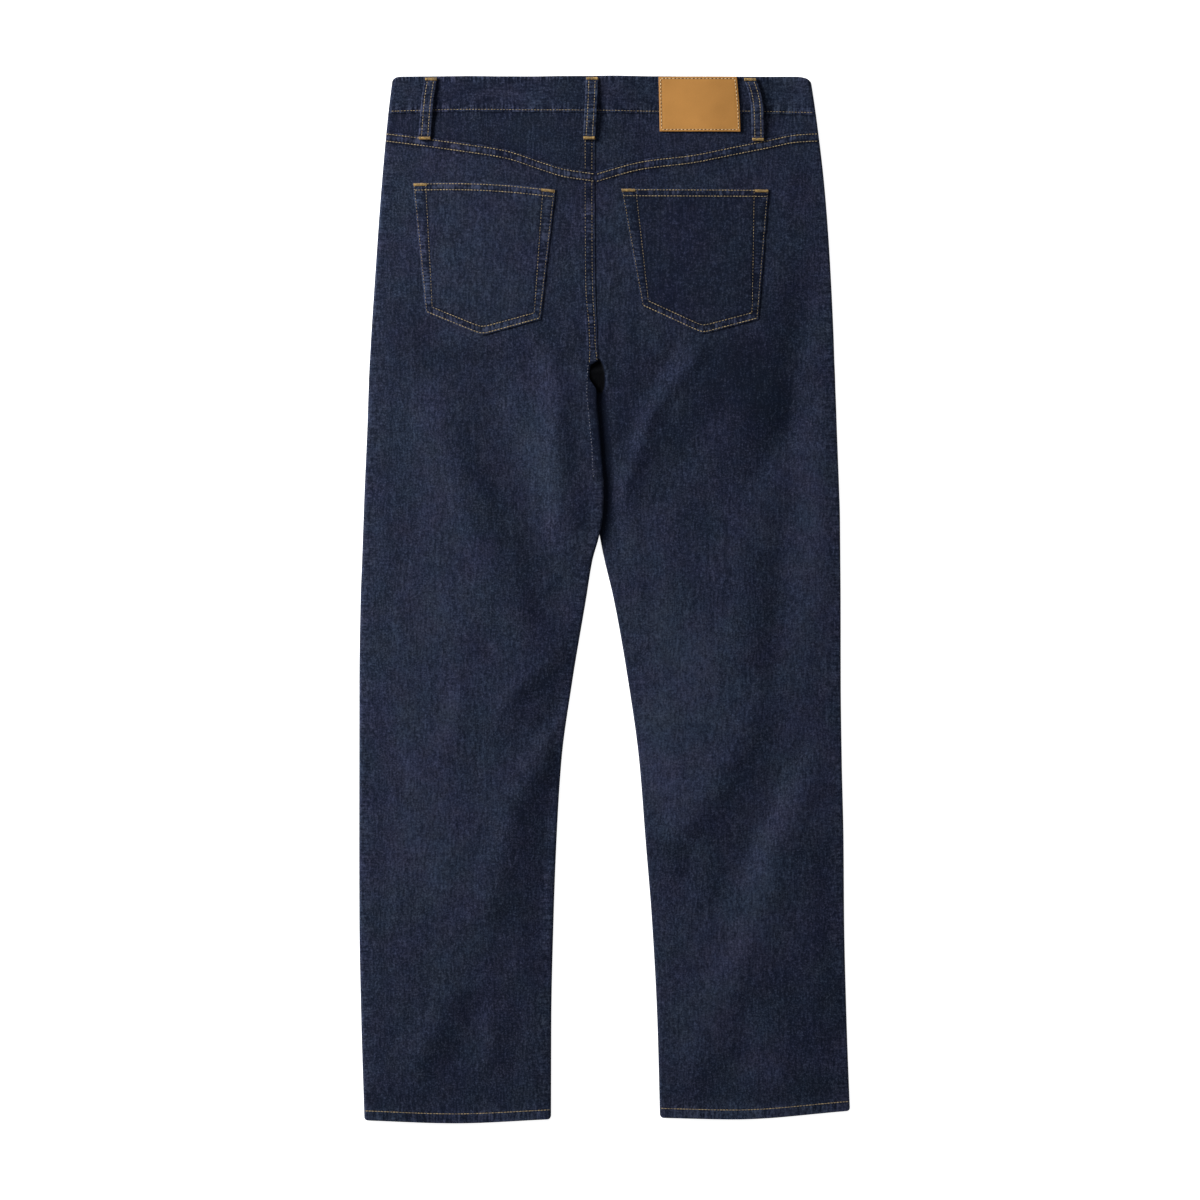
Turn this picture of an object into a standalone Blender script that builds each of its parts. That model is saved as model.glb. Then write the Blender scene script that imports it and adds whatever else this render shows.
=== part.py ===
"""Straight leg denim jeans, laid flat on their front, so that the back faces up.

Metres, +Z up, with the waist towards +Y and the wearer's right leg towards +X. The origin is on
the surface that the jeans lie on, under the middle of their outline. Sizes and tables are in
millimetres: x from the origin, down from the waistband's top edge, and heights above the surface.
"""

import math
from typing import NamedTuple

import bmesh
import bpy
import numpy as np

MM = 0.001

# Cloth and clearances
DENIM = 1.2  # one layer of denim
BAND = 2.4  # the waistband's two layers
HEM = 2.4  # the turned up hem
LEATHER = 1.4  # the patch
LOOP = 1.6  # a belt loop, folded in three
GAP = 0.3  # between neighbouring pieces
FELL_WIDTH = 9.5  # a lapped seam's raised strip, under its two rows of stitches
FELL_RAISE = 0.8  # how far the strip stands up
CORNER_WIDTH, CORNER_DROP = 16.0, 6.0  # the waistband's rounded top corners

# The whole garment
LENGTH = 1046.0
HALF_LENGTH = LENGTH / 2
BAND_DEPTH = 37.0  # the waistband's usual height
HEM_DEPTH = 10.5
HEM_SPACE = 3.5  # inside the back's hem, which is doubled inwards too
SEAT_SPACE, LEG_SPACE = 3.8, 2.6  # from the surface to the inside of the back, at the sides
SEAT_CROWN, LEG_CROWN = 1.2, 2.2  # how much higher it is further in
SEAT_END = 200.0  # the hips' heights change into the legs' from here to below the crotch
CROWN_WIDTH = 45.0
LEAST_SPACE, MOST_SPACE = 1.7, 8.5  # troughs and ridges stop here
FOLD_FADE = 16.0  # folds fade out over this distance at the sides
SEAT_SEAM, LEG_SEAM = 3.3, 2.0  # height of the side seams at the hips and on the legs

# The crotch, where the left leg's inner edge lies on the right leg's
CROTCH = 290.0
SLIT_TOP, SLIT_OPEN = 314.0, 288.0
SLIT_END, SLIT_CLOSED = 462.0, 502.0
CROTCH_TURN = 24.0  # the panels' edges turn from flat to upright over this
LEFT_LIFT = 4.2
LIFT_FLAT, LIFT_SLOPE = 13.0, 50.0  # the left leg comes down beyond this, over this width
THIN_SPACE = 2.4  # inside the back, where the two legs' edges are pressed together
THIN_SEAM = 1.8  # the height of the inseam there
THIN_FLAT, THIN_SLOPE = {"left": 8.0, "right": 16.0}, {"left": 26.0, "right": 17.0}

# The front closure
TAB_END = 12.0  # the buttonhole tab passes the centre by this
UNDER_END = 25.0  # the band and the fly under it pass the centre by this, the other way
OVER_LEFT, OVER_RIGHT = -28.0, 17.0  # the back is flat over both ends between these
OVER_SLOPE = 43.0
FLY_START, FLY_END = 170.0, 200.0  # where the fly's lower end curves back to the centre seam
STACK = 2 * (DENIM + GAP)  # the fly's outer flap and the zip lie under the inner flap
RAMP_START, RAMP_END = 13.0, 29.0  # the inner flap comes down between these distances
BUTTON_RADIUS, BUTTON_HEIGHT = 8.5, 2.2
BAND_LIFT = BUTTON_HEIGHT + GAP  # the band's front rests on the button and the front loops
FLAT_HALF, SLOPE_HALF = 110.0, 180.0  # the band comes down to the surface between these
WAIST_FALL = 150.0  # the waist's extra height is gone this far down
BAND_ROOM = 1.0  # between the waistband's front and its back
YOKE_STEP = 0.7  # the yokes' inside is higher than the band's by this

LOOP_WIDTH = 12.4
BELT_ROOM = 1.9  # under the middle of a belt loop
FRONT_LOOP_OFFSET = 105.0
FRONT_LOOP_TOP, FRONT_LOOP_BOTTOM = 5.0, 63.0
SCOOP_TOP, SCOOP_WIDTH, SCOOP_DEPTH = 37.0, 105.0, 90.0  # the front pocket openings
SCOOP_END = SCOOP_TOP + SCOOP_DEPTH
FACING_LAP = 12.0  # how far the pocket facing passes under the front


class Turn(NamedTuple):
    """Where cloth turns round at an edge: the distance from it, and the share of the rise."""

    distance: float
    rise: float


TURNS = [Turn(0.0, 0.0), Turn(0.0, 0.3), Turn(0.9, 0.8), Turn(3.0, 1.0)]
FLAT_STEP = 0.45  # the second turn's distance where the edge lies flat


class Section(NamedTuple):
    """The outline of both legs at one level."""

    down: float
    left_outer: float
    left_inner: float
    right_inner: float
    right_outer: float


SECTIONS = [
    Section(0, -212.0, -9.2, -8.9, 206.0),
    Section(37, -216.5, -9.5, -9.2, 211.5),
    Section(114, -223.5, -9.5, -9.2, 220.5),
    Section(190, -229.0, -9.2, -8.9, 226.0),
    Section(262, -233.8, -7.2, -6.9, 229.5),
    Section(284, -235.0, -6.6, -6.3, 230.2),
    Section(300, -235.7, -8.0, -7.5, 230.9),
    Section(314, -236.2, -8.1, -7.4, 231.3),
    Section(326, -236.7, -7.4, -8.4, 231.8),
    Section(350, -237.5, -5.0, -12.0, 232.6),
    Section(374, -238.5, -3.0, -13.2, 233.5),
    Section(414, -240.3, -0.6, -11.0, 235.0),
    Section(439, -241.2, -1.6, -8.4, 235.8),
    Section(461, -242.0, -5.6, -4.6, 236.0),
    Section(484, -242.8, -12.0, 0.0, 236.2),
    Section(524, -244.3, -18.6, 9.4, 236.5),
    Section(604, -245.5, -32.0, 23.5, 236.6),
    Section(684, -245.6, -43.0, 34.6, 237.6),
    Section(764, -245.7, -48.0, 41.0, 239.4),
    Section(844, -245.5, -51.0, 47.4, 240.0),
    Section(944, -243.6, -53.2, 52.8, 242.4),
    Section(1046, -240.4, -53.5, 55.6, 246.2),
]


class Mark(NamedTuple):
    """A point of a seam line or an edge."""

    x: float
    down: float


BAND_BOTTOM = [
    Mark(-217, 38.0),
    Mark(-150, 36.4),
    Mark(-20, 37.6),
    Mark(60, 38.4),
    Mark(140, 38.0),
    Mark(212, 39.4),
]
YOKE_LEFT = [
    Mark(-219, 55.6),
    Mark(-187, 59.6),
    Mark(-144, 65.8),
    Mark(-99, 73.0),
    Mark(-63, 84.7),
    Mark(-41, 91.5),
    Mark(-9, 96.2),
]
YOKE_RIGHT = [
    Mark(-9, 96.2),
    Mark(41, 83.0),
    Mark(87, 77.4),
    Mark(128, 69.3),
    Mark(162, 62.5),
    Mark(193, 56.4),
    Mark(214, 55.2),
]
HEM_LEFT = [Mark(-240, 1042.9), Mark(-150, 1046.0), Mark(-54, 1041.4)]
HEM_RIGHT = [Mark(56, 1040.4), Mark(130, 1041.8), Mark(245, 1032.6)]


class Pocket(NamedTuple):
    """A back pocket's corners, its lower point, and the rise of its top edge."""

    top_left: Mark
    top_right: Mark
    bottom_left: Mark
    point: Mark
    bottom_right: Mark
    bow: float


POCKETS = {
    "left": Pocket(
        Mark(-191.9, 107.0), Mark(-48.9, 113.8), Mark(-179.0, 236.8),
        Mark(-122.7, 259.7), Mark(-63.8, 243.5), 3.0,
    ),
    "right": Pocket(
        Mark(16.2, 112.6), Mark(164.6, 113.3), Mark(37.4, 230.3),
        Mark(98.1, 258.2), Mark(153.8, 243.5), 0.0,
    ),
}  # fmt: skip

# The middle line of each belt loop on the back
BACK_LOOPS = {
    "left": [Mark(-173.2, 1.5), Mark(-176.8, 25), Mark(-180.0, 64.5)],
    "centre": [Mark(-12.3, 1.5), Mark(-13.4, 30), Mark(-15.4, 64.9)],
    "right": [Mark(144.8, 2.0), Mark(150.5, 19), Mark(152.6, 34), Mark(153.5, 65.8)],
}
PATCH = [Mark(54.1, 1.2), Mark(132.2, 1.2), Mark(135.9, 56.0), Mark(55.2, 56.0)]


class Fold(NamedTuple):
    """A soft ridge, or a trough where its height is negative, along a straight line."""

    start: Mark
    end: Mark
    half_width: float
    height: float


FOLDS = [
    # Left leg
    Fold(Mark(-166, 354), Mark(-80, 564), 28, 2.2),
    Fold(Mark(-112, 324), Mark(-45, 514), 22, -1.7),
    Fold(Mark(-52, 286), Mark(-49, 444), 15, 1.9),
    Fold(Mark(-174, 290), Mark(-77, 284), 15, -1.2),
    Fold(Mark(-49, 576), Mark(-106, 636), 16, 1.4),
    Fold(Mark(-39, 624), Mark(-82, 676), 15, -1.4),
    Fold(Mark(-64, 669), Mark(-114, 824), 24, 2.0),
    Fold(Mark(-49, 724), Mark(-69, 854), 18, -1.2),
    Fold(Mark(-142, 612), Mark(-156, 676), 14, 0.8),
    Fold(Mark(-156, 924), Mark(-186, 990), 17, 1.3),
    Fold(Mark(-127, 936), Mark(-152, 1004), 14, -1.3),
    Fold(Mark(-112, 944), Mark(-114, 994), 12, 0.9),
    Fold(Mark(-85, 954), Mark(-91, 999), 13, -1.0),
    # Right leg
    Fold(Mark(72, 269), Mark(20, 360), 17, -1.9),
    Fold(Mark(100, 286), Mark(36, 396), 15, 2.2),
    Fold(Mark(127, 322), Mark(50, 432), 19, -1.6),
    Fold(Mark(124, 276), Mark(138, 334), 20, 1.2),
    Fold(Mark(198, 224), Mark(188, 344), 22, -2.2),
    Fold(Mark(186, 349), Mark(148, 406), 18, -1.4),
    Fold(Mark(60, 444), Mark(68, 564), 26, 0.9),
    Fold(Mark(142, 469), Mark(140, 579), 22, 1.0),
    Fold(Mark(180, 444), Mark(176, 584), 19, -1.5),
    Fold(Mark(152, 636), Mark(86, 754), 21, 1.7),
    Fold(Mark(196, 672), Mark(134, 796), 17, -1.8),
    Fold(Mark(200, 714), Mark(134, 909), 24, 1.9),
    Fold(Mark(88, 766), Mark(78, 828), 13, -1.0),
    Fold(Mark(100, 924), Mark(92, 974), 16, 1.0),
    Fold(Mark(140, 924), Mark(134, 999), 18, -1.1),
]


def ease(share):
    """A smooth step from 0 to 1."""
    share = min(max(share, 0.0), 1.0)
    return share * share * (3 - 2 * share)


def ease_out(share):
    """A rise from 0 to 1 that slows down as it ends."""
    return 1 - (1 - min(max(share, 0.0), 1.0)) ** 2


def mix(first, second, share):
    return first + (second - first) * share


def smooth_curve(places, values):
    """A cubic through the points that never overshoots them, held level past its ends."""
    places, values = np.asarray(places, float), np.asarray(values, float)
    gaps = np.diff(places)
    slopes = np.diff(values) / gaps
    tangents = np.concatenate([[slopes[0]], np.zeros(len(slopes) - 1), [slopes[-1]]])
    for k in range(1, len(slopes)):
        before, after = slopes[k - 1], slopes[k]
        if before * after > 0:
            tangents[k] = 2 * before * after / (before + after)

    def value(place):
        place = min(max(place, places[0]), places[-1])
        k = min(int(np.searchsorted(places, place, side="right")) - 1, len(gaps) - 1)
        t = (place - places[k]) / gaps[k]
        bend = (tangents[k] * (1 - t) - tangents[k + 1] * t) * gaps[k]
        return float(mix(values[k], values[k + 1], ease(t)) + t * (1 - t) * bend)

    return value


def line_of(marks):
    """The distance down of a seam line, as a function of x."""
    return smooth_curve([m.x for m in marks], [m.down for m in marks])


def edge_of(column):
    """The x of one of the legs' edges, as a function of the distance down."""
    return smooth_curve([s.down for s in SECTIONS], [getattr(s, column) for s in SECTIONS])


OUTER = {"left": edge_of("left_outer"), "right": edge_of("right_outer")}
INNER = {"left": edge_of("left_inner"), "right": edge_of("right_inner")}
band_bottom = line_of(BAND_BOTTOM)
YOKE_LINE = {"left": line_of(YOKE_LEFT), "right": line_of(YOKE_RIGHT)}
HEM_LINE = {"left": line_of(HEM_LEFT), "right": line_of(HEM_RIGHT)}


def centre(down):
    """The x of the centre seams."""
    return INNER["left"](min(down, SECTIONS[5].down))


def side_of(x, down):
    return "left" if x < centre(down) else "right"


# ---------------------------------------------------------------- heights


def fold_height(x, down):
    total = 0.0
    for fold in FOLDS:
        along_x, along_down = fold.end.x - fold.start.x, fold.end.down - fold.start.down
        from_x, from_down = x - fold.start.x, down - fold.start.down
        length = math.hypot(along_x, along_down)
        share = (from_x * along_x + from_down * along_down) / length**2
        nearest = min(max(share, 0.0), 1.0)
        off = math.hypot(from_x - along_x * nearest, from_down - along_down * nearest)
        total += fold.height * math.exp(-((off / fold.half_width) ** 2))
    return total


def waist_share(down):
    """1 at the waistband, and 0 where the waist's extra height has gone."""
    return 1 - ease((down - BAND_DEPTH) / (WAIST_FALL - BAND_DEPTH))


def band_lift(x):
    """How far the front of the waistband is held off the surface by the button and loops."""
    off_centre = abs(x - centre(0))
    return BAND_LIFT * (1 - ease((off_centre - FLAT_HALF) / (SLOPE_HALF - FLAT_HALF)))


def band_inside(x):
    """The inside of the waistband's back, which clears the two overlapping front ends."""
    from_centre = x - centre(0)
    left, right = (OVER_LEFT - from_centre) / OVER_SLOPE, (from_centre - OVER_RIGHT) / OVER_SLOPE
    ends = (1 - ease(left)) * (1 - ease(right))
    return band_lift(x) + BAND + BAND_ROOM + (BAND + GAP) * ends


def slit_share(down):
    """1 where one leg's inner edge lies on the other's."""
    opening = ease((down - SLIT_OPEN) / (SLIT_TOP - SLIT_OPEN))
    return opening * (1 - ease((down - SLIT_END) / (SLIT_CLOSED - SLIT_END)))


def from_inner_edge(side, x, down):
    return abs(x - INNER[side](down))


def from_sides(side, x, down, shape, width):
    """A shape's rise from a leg's two edges, and over the hips from the side seam alone."""
    from_outer = shape(abs(x - OUTER[side](down)) / width)
    from_inner = shape(from_inner_edge(side, x, down) / width)
    return from_outer * mix(1.0, from_inner, ease((down - CROTCH) / 100))


def leg_lift(side, x, down):
    """How far the left leg is raised by the right leg's edge under it."""
    if side == "right":
        return 0.0
    near = 1 - ease((from_inner_edge(side, x, down) - LIFT_FLAT) / LIFT_SLOPE)
    return LEFT_LIFT * slit_share(down) * near


def back_inside(side, x, down):
    """The height of the back's inner face, over both front layers."""
    on_leg = ease((down - SEAT_END) / (CROTCH + 30 - SEAT_END))
    space = mix(SEAT_SPACE, LEG_SPACE, on_leg)
    space += mix(SEAT_CROWN, LEG_CROWN, on_leg) * from_sides(side, x, down, ease_out, CROWN_WIDTH)
    space += fold_height(x, down) * from_sides(side, x, down, ease, FOLD_FADE)
    space = min(max(space, LEAST_SPACE), MOST_SPACE)
    near_hem = 1 - ease((HEM_LINE[side](x) - down - HEM_DEPTH - 3) / 30)
    space = mix(space, HEM_SPACE, near_hem)
    space = mix(space, band_inside(x) + YOKE_STEP, waist_share(down))
    from_flat = from_inner_edge(side, x, down) - THIN_FLAT[side]
    near = 1 - ease(from_flat / THIN_SLOPE[side])
    space = mix(space, THIN_SPACE, slit_share(down) * near)
    return space + leg_lift(side, x, down)


def fell_raise(distance):
    """The raised strip beside a lapped seam."""
    return FELL_RAISE * (1 - ease((distance - FELL_WIDTH + 1) / 1.5))


def back_outside(side, x, down):
    """The height of the back's outer face, seams and hem included."""
    height = back_inside(side, x, down) + DENIM
    if down > YOKE_LINE[side](x):
        height += fell_raise(down - YOKE_LINE[side](x))
    if side == "left":
        strip = fell_raise(from_inner_edge(side, x, down)) * (1 - crotch_turn(down))
        height = max(height, back_inside(side, x, down) + DENIM + strip)
    to_hem = HEM_LINE[side](x) - down
    return height + (HEM - DENIM) / 2 * (1 - ease((to_hem - HEM_DEPTH) / 2))


def top_of_back(x, down):
    """The height of whatever lies uppermost there, without pockets, patch and loops."""
    if down < band_bottom(x):
        return band_inside(x) + BAND
    return back_outside(side_of(x, down), x, down)


def seam_height(side, x, down):
    """The height at which the back and front meet along a leg's edge."""
    height = mix(SEAT_SEAM, LEG_SEAM, ease((down - 140) / 110))
    if from_inner_edge(side, x, down) < 30:
        height = mix(height, THIN_SEAM, slit_share(down))
    return height + leg_lift(side, x, down)


def front_seam_height(side, x, down):
    """The height of the front's edge, which is a little lower round the pocket's scoop."""
    at_scoop = 1 - ease((down - SCOOP_END - 15) / 30)
    return seam_height(side, x, down) - GAP / 2 * (1 + at_scoop)


def crotch_turn(down):
    """0 where the two legs' panels meet flat in the centre seams, 1 where their edges turn."""
    return ease((down - CROTCH) / CROTCH_TURN + 0.5)


def under_lift(x, down):
    """How far the fly's inner flap and the band behind the tab are raised."""
    off = x - centre(down) - RAMP_START
    fly = 1 - ease((down - FLY_END) / 40)
    return (1 - ease(off / (RAMP_END - RAMP_START))) * fly


def front_outside(side, x, down):
    """The height of the front's outer face, which is the underside."""
    height = band_lift(x) * waist_share(down) + leg_lift(side, x, down)
    if side == "right":
        height += STACK * under_lift(x, down)
    return height


# ---------------------------------------------------------------- pieces


def finish(name, colour, roughness, metallic=0.0):
    made = bpy.data.materials.new(name)
    made.use_nodes = True
    shader = made.node_tree.nodes["Principled BSDF"]
    shader.inputs["Base Color"].default_value = (*colour, 1.0)
    shader.inputs["Roughness"].default_value = roughness
    shader.inputs["Metallic"].default_value = metallic
    return made


class Columns:
    """The columns of a piece from its left edge to its right edge.

    Each edge has the columns of its turn and then those at its marks, which are distances from
    it, and even columns fill the middle. An edge's bend is 1 where it turns, 0 where it is flat.
    """

    def __init__(self, left_marks, right_marks, middle):
        self.left_marks, self.right_marks, self.middle = left_marks, right_marks, middle
        self.count = 2 * len(TURNS) + len(left_marks) + len(right_marks) + middle

    def distances(self, marks, bend):
        turns = [turn.distance for turn in TURNS]
        turns[1] = FLAT_STEP * (1 - bend)
        return turns + marks

    def x(self, column, left, right, bends=(1.0, 1.0)):
        from_left = self.distances(self.left_marks, bends[0])
        from_right = self.distances(self.right_marks, bends[1])
        if column < len(from_left):
            return left + from_left[column]
        if column >= self.count - len(from_right):
            return right - from_right[self.count - 1 - column]
        share = (column - len(from_left) + 1) / (self.middle + 1)
        return mix(left + from_left[-1], right - from_right[-1], share)

    def rise(self, column, bends=(1.0, 1.0)):
        """The share of the way from the edge's height to the flat height."""
        for from_edge, bend in zip((column, self.count - 1 - column), bends):
            if from_edge < len(TURNS):
                return mix(1.0, TURNS[from_edge].rise, bend)
        return 1.0


def world(x, down, height):
    return (x * MM, (HALF_LENGTH - down) * MM, height * MM)


class Garment:
    """Makes each piece as a named object in the garment's own collection."""

    def __init__(self):
        for old in list(bpy.data.objects):
            bpy.data.objects.remove(old)
        self.collection = bpy.data.collections.new("jeans")
        bpy.context.scene.collection.children.link(self.collection)
        self.denim = finish("denim", (0.022, 0.032, 0.085), 0.9)
        self.leather = finish("leather", (0.50, 0.29, 0.11), 0.6)
        self.metal = finish("button metal", (0.45, 0.27, 0.15), 0.35, 1.0)
        self.tape = finish("zip tape", (0.02, 0.025, 0.06), 0.85)

    def add(self, name, shape, material):
        mesh = bpy.data.meshes.new(name)
        shape.to_mesh(mesh)
        shape.free()
        piece = bpy.data.objects.new(name, mesh)
        mesh.materials.append(material)
        self.collection.objects.link(piece)
        return piece

    def cloth(self, name, columns, rows, place, thickness, material=None, **options):
        """A grid whose vertices place(column, row) puts on the outer face, thickened inwards.

        options: under, for a piece whose outer face looks down; thick(column, row), which says
        where the cloth is doubled, with double as the thickness there; and even, whether the
        wall is as thick in its bends as elsewhere.
        """
        shape = bmesh.new()
        bmesh.ops.create_grid(shape, x_segments=columns - 1, y_segments=rows - 1, size=1)
        doubled = []
        for vertex in shape.verts:
            column = round((vertex.co.x + 1) / 2 * (columns - 1))
            row = round((1 - vertex.co.y) / 2 * (rows - 1))
            vertex.co = world(*place(column, row))
            if options.get("thick") and options["thick"](column, row):
                doubled.append(vertex.index)
        if options.get("under"):
            bmesh.ops.reverse_faces(shape, faces=shape.faces)
        piece = self.add(name, shape, material or self.denim)
        wall = piece.modifiers.new("Wall", "SOLIDIFY")
        wall.offset = -1
        wall.use_even_offset = options.get("even", True)
        wall.use_quality_normals = True
        wall.thickness = options.get("double", thickness) * MM
        if doubled:
            piece.vertex_groups.new(name="doubled").add(doubled, 1.0, "REPLACE")
            wall.vertex_group = "doubled"
            wall.thickness_vertex_group = thickness / options["double"]
        return piece


def leg_levels(first, seat_rows, leg_rows):
    """The levels of a leg's rows: closer round the crotch, wider down the leg."""
    seat = np.linspace(first, 262, seat_rows)
    slit = np.array([276, 288, 298, 308, 320, 340, 362, 386, 412, 434, 450, 464, 482, 502])
    leg = np.linspace(532, 1018, leg_rows)
    return np.concatenate([seat, slit, leg])


PANEL_MARKS = {
    ("left", "back"): [8.5, 10.0, 20.0, 34.0, 56.0],
    ("right", "back"): [9.0, 17.0, 25.0, 34.0],
    ("left", "front"): [13.0, 30.0, 60.0],
    ("right", "front"): [12.0, UNDER_END, UNDER_END + RAMP_START, UNDER_END + RAMP_END],
}
PANEL_MIDDLE = {"back": 9, "front": 4}


def columns_of(side, face):
    inner, middle = PANEL_MARKS[side, face], PANEL_MIDDLE[face]
    return Columns([], inner, middle) if side == "left" else Columns(inner, [], middle)


def ends_of(side, outer, inner):
    """An outer and an inner value, as left and right ones."""
    return (outer, inner) if side == "left" else (inner, outer)


def scoop(down):
    """How far the scooped front pocket opening cuts into the front from the side."""
    depth = min(max((down - SCOOP_TOP) / SCOOP_DEPTH, 0.0), 1.0)
    return SCOOP_WIDTH * (1 - depth**2)


class LegPanel:
    """Half of a leg: its back, or its front, from the seam above it to the hem."""

    def __init__(self, side, face):
        self.side, self.face = side, face
        self.columns = columns_of(side, face)
        if face == "back":
            self.top_marks = [0, FELL_WIDTH - 1, FELL_WIDTH + 0.5]
            self.levels = leg_levels(112, 5, 18)
        else:
            self.top_marks = [0, 15, 30, 45, 60, 75, 84, 90, 96]
            self.levels = leg_levels(152, 3, 7)
        self.hem_marks = [HEM_DEPTH + 2, HEM_DEPTH, 0]
        self.rows = len(self.top_marks) + len(self.levels) + len(self.hem_marks)

    def top(self, x):
        if self.face == "back":
            return YOKE_LINE[self.side](x) + GAP / 2
        return band_bottom(x) + GAP / 2

    def level(self, row, x):
        """The distance down of a row where it passes x: the first and last follow the edges."""
        if row < len(self.top_marks):
            return self.top(x) + self.top_marks[row]
        row -= len(self.top_marks)
        if row >= len(self.levels):
            return HEM_LINE[self.side](x) - self.hem_marks[row - len(self.levels)]
        level = self.levels[row]
        slant = self.top(x) + self.top_marks[-1] + 12 - self.levels[0]
        level += slant * (1 - ease((level - self.levels[0]) / 130))
        to_hem = HEM_LINE[self.side](x) - LENGTH
        return level + to_hem * ease((level - 900) / 120)

    def inner_edge(self, down):
        if self.face == "front" and self.side == "right":
            back_to_seam = ease((down - FLY_START) / (FLY_END - FLY_START))
            return INNER["right"](down) - (UNDER_END + GAP) * (1 - back_to_seam)
        return INNER[self.side](down)

    def outer_edge(self, down):
        edge = OUTER[self.side](down)
        if self.face == "front":
            edge += scoop(down) * (1 if self.side == "left" else -1)
        return edge

    def bends(self, down):
        outer = 1.0 if self.face == "back" else ease((down - SCOOP_END) / 5)
        return ends_of(self.side, outer, crotch_turn(down))

    def place(self, column, row):
        x = 0.5 * (self.outer_edge(500) + self.inner_edge(500))
        for _ in range(3):
            down = self.level(row, x)
            ends = ends_of(self.side, self.outer_edge(down), self.inner_edge(down))
            x = self.columns.x(column, *ends, self.bends(down))
        if self.face == "back":
            flat = back_outside(self.side, x, down)
            edge = seam_height(self.side, x, down) + GAP / 2
        else:
            flat = front_outside(self.side, x, down)
            edge = front_seam_height(self.side, x, down)
        return x, down, mix(edge, flat, self.columns.rise(column, self.bends(down)))

    def in_hem(self, column, row):
        turned = len(TURNS) - 1
        return row >= self.rows - 2 and turned <= column < self.columns.count - turned

    def build(self, garment):
        garment.cloth(
            f"{self.face}_leg_{self.side}",
            self.columns.count,
            self.rows,
            self.place,
            DENIM,
            thick=self.in_hem,
            double=HEM,
            under=self.face == "front",
        )


def build_yoke(garment, side):
    """The piece between the waistband and a back panel."""
    columns, rows = columns_of(side, "back"), 6
    bends = ends_of(side, 1.0, 0.0)

    def place(column, row):
        x, down = 0.0, 60.0
        for _ in range(3):
            ends = ends_of(side, OUTER[side](down), INNER[side](down))
            x = columns.x(column, *ends, bends)
            top, bottom = band_bottom(x) + GAP / 2, YOKE_LINE[side](x) - GAP / 2
            down = mix(top, bottom, row / (rows - 1))
        edge = seam_height(side, x, down) + GAP / 2
        flat = back_inside(side, x, down) + DENIM
        if side == "left":
            flat += fell_raise(from_inner_edge(side, x, down))
        return x, down, mix(edge, flat, columns.rise(column, bends))

    garment.cloth(f"back_yoke_{side}", columns.count, rows, place, DENIM)


def build_facing(garment, side):
    """The piece of denim that shows inside a front pocket's scooped opening."""
    columns = Columns([], [], 5)
    marks = [0, 15, 30, 45, 60, 75, 82, 89, 102]
    inwards = 1 if side == "left" else -1

    def place(column, row):
        x, down = OUTER[side](60), 60.0
        for _ in range(3):
            down = band_bottom(x) + GAP / 2 + marks[row]
            tucked = ease((down - SCOOP_END + 8) / 7)
            outer = OUTER[side](down) + inwards * 6 * tucked
            inner = OUTER[side](down) + inwards * (scoop(down) + FACING_LAP + 6)
            bends = ends_of(side, 1 - tucked, 0.0)
            x = columns.x(column, *ends_of(side, outer, inner), bends)
        flat = front_outside(side, x, down) + DENIM + 1.5 * GAP
        edge = front_seam_height(side, x, down)
        return x, down, mix(edge, flat, columns.rise(column, bends))

    name = f"front_pocket_facing_{side}"
    garment.cloth(name, columns.count, len(marks), place, DENIM, under=True, even=False)


def build_waistband(garment):
    """A flattened ring of doubled denim, from the buttonhole tab round to the end under it."""
    back_steps, front_steps, turn_steps = 24, 11, 5
    side_radius = 4.0
    half_turn = [math.radians(-60 + 30 * k) for k in range(turn_steps)]
    path = [("front_left", k / front_steps) for k in range(front_steps + 1)]
    path += [("left_turn", angle) for angle in half_turn]
    path += [("back", k / back_steps) for k in range(back_steps + 1)]
    path += [("right_turn", -angle) for angle in half_turn]
    path += [("front_right", k / front_steps) for k in range(front_steps + 1)]
    rows = 5

    def outline(down):
        return OUTER["left"](down), OUTER["right"](down)

    def section(stretch, share, down):
        """x and the outer height of one point of the ring."""
        left, right = outline(down)
        low, high = left + side_radius, right - side_radius
        if stretch == "back":
            x = mix(low, high, share)
            return x, band_inside(x) + BAND
        if stretch == "front_left":
            x = mix(centre(0) + TAB_END, low, share)
            return x, band_lift(x)
        if stretch == "front_right":
            x = mix(high, centre(0) - UNDER_END, share)
            return x, band_lift(x) + (BAND + GAP) * under_lift(x, 0)
        middle = (band_inside(low) + BAND) / 2
        outwards = -1 if stretch == "left_turn" else 1
        x = (low if outwards < 0 else high) + outwards * side_radius * math.cos(share)
        return x, middle + middle * math.sin(share)

    def top_edge(stretch, x, down):
        """The front's top edge lies a little lower, and the ends are rounded."""
        if stretch.startswith("front"):
            return 5.0
        left, right = outline(down)
        to_flat = 1 - min(max(min(x - left, right - x) / CORNER_WIDTH, 0.0), 1.0)
        return CORNER_DROP * (1 - math.sqrt(1 - to_flat**2))

    def place(column, row):
        stretch, share = path[column]
        x, _ = section(stretch, share, 20)
        top = top_edge(stretch, x, 20)
        bottom = band_bottom(x) - GAP
        down = [top, top + 1.6, mix(top, bottom, 0.35), mix(top, bottom, 0.7), bottom][row]
        x, height = section(stretch, share, down)
        if row == 0:
            inwards = -1 if stretch == "back" else 1
            if "turn" in stretch:
                inwards = -math.sin(share)
            height += inwards * BAND / 4
        return x, down, height

    # The path runs right to left along the front, which is under, and back along the top.
    garment.cloth(
        "waistband",
        len(path),
        rows,
        place,
        BAND / 2,
        thick=lambda column, row: row > 0,
        double=BAND,
    )


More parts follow.
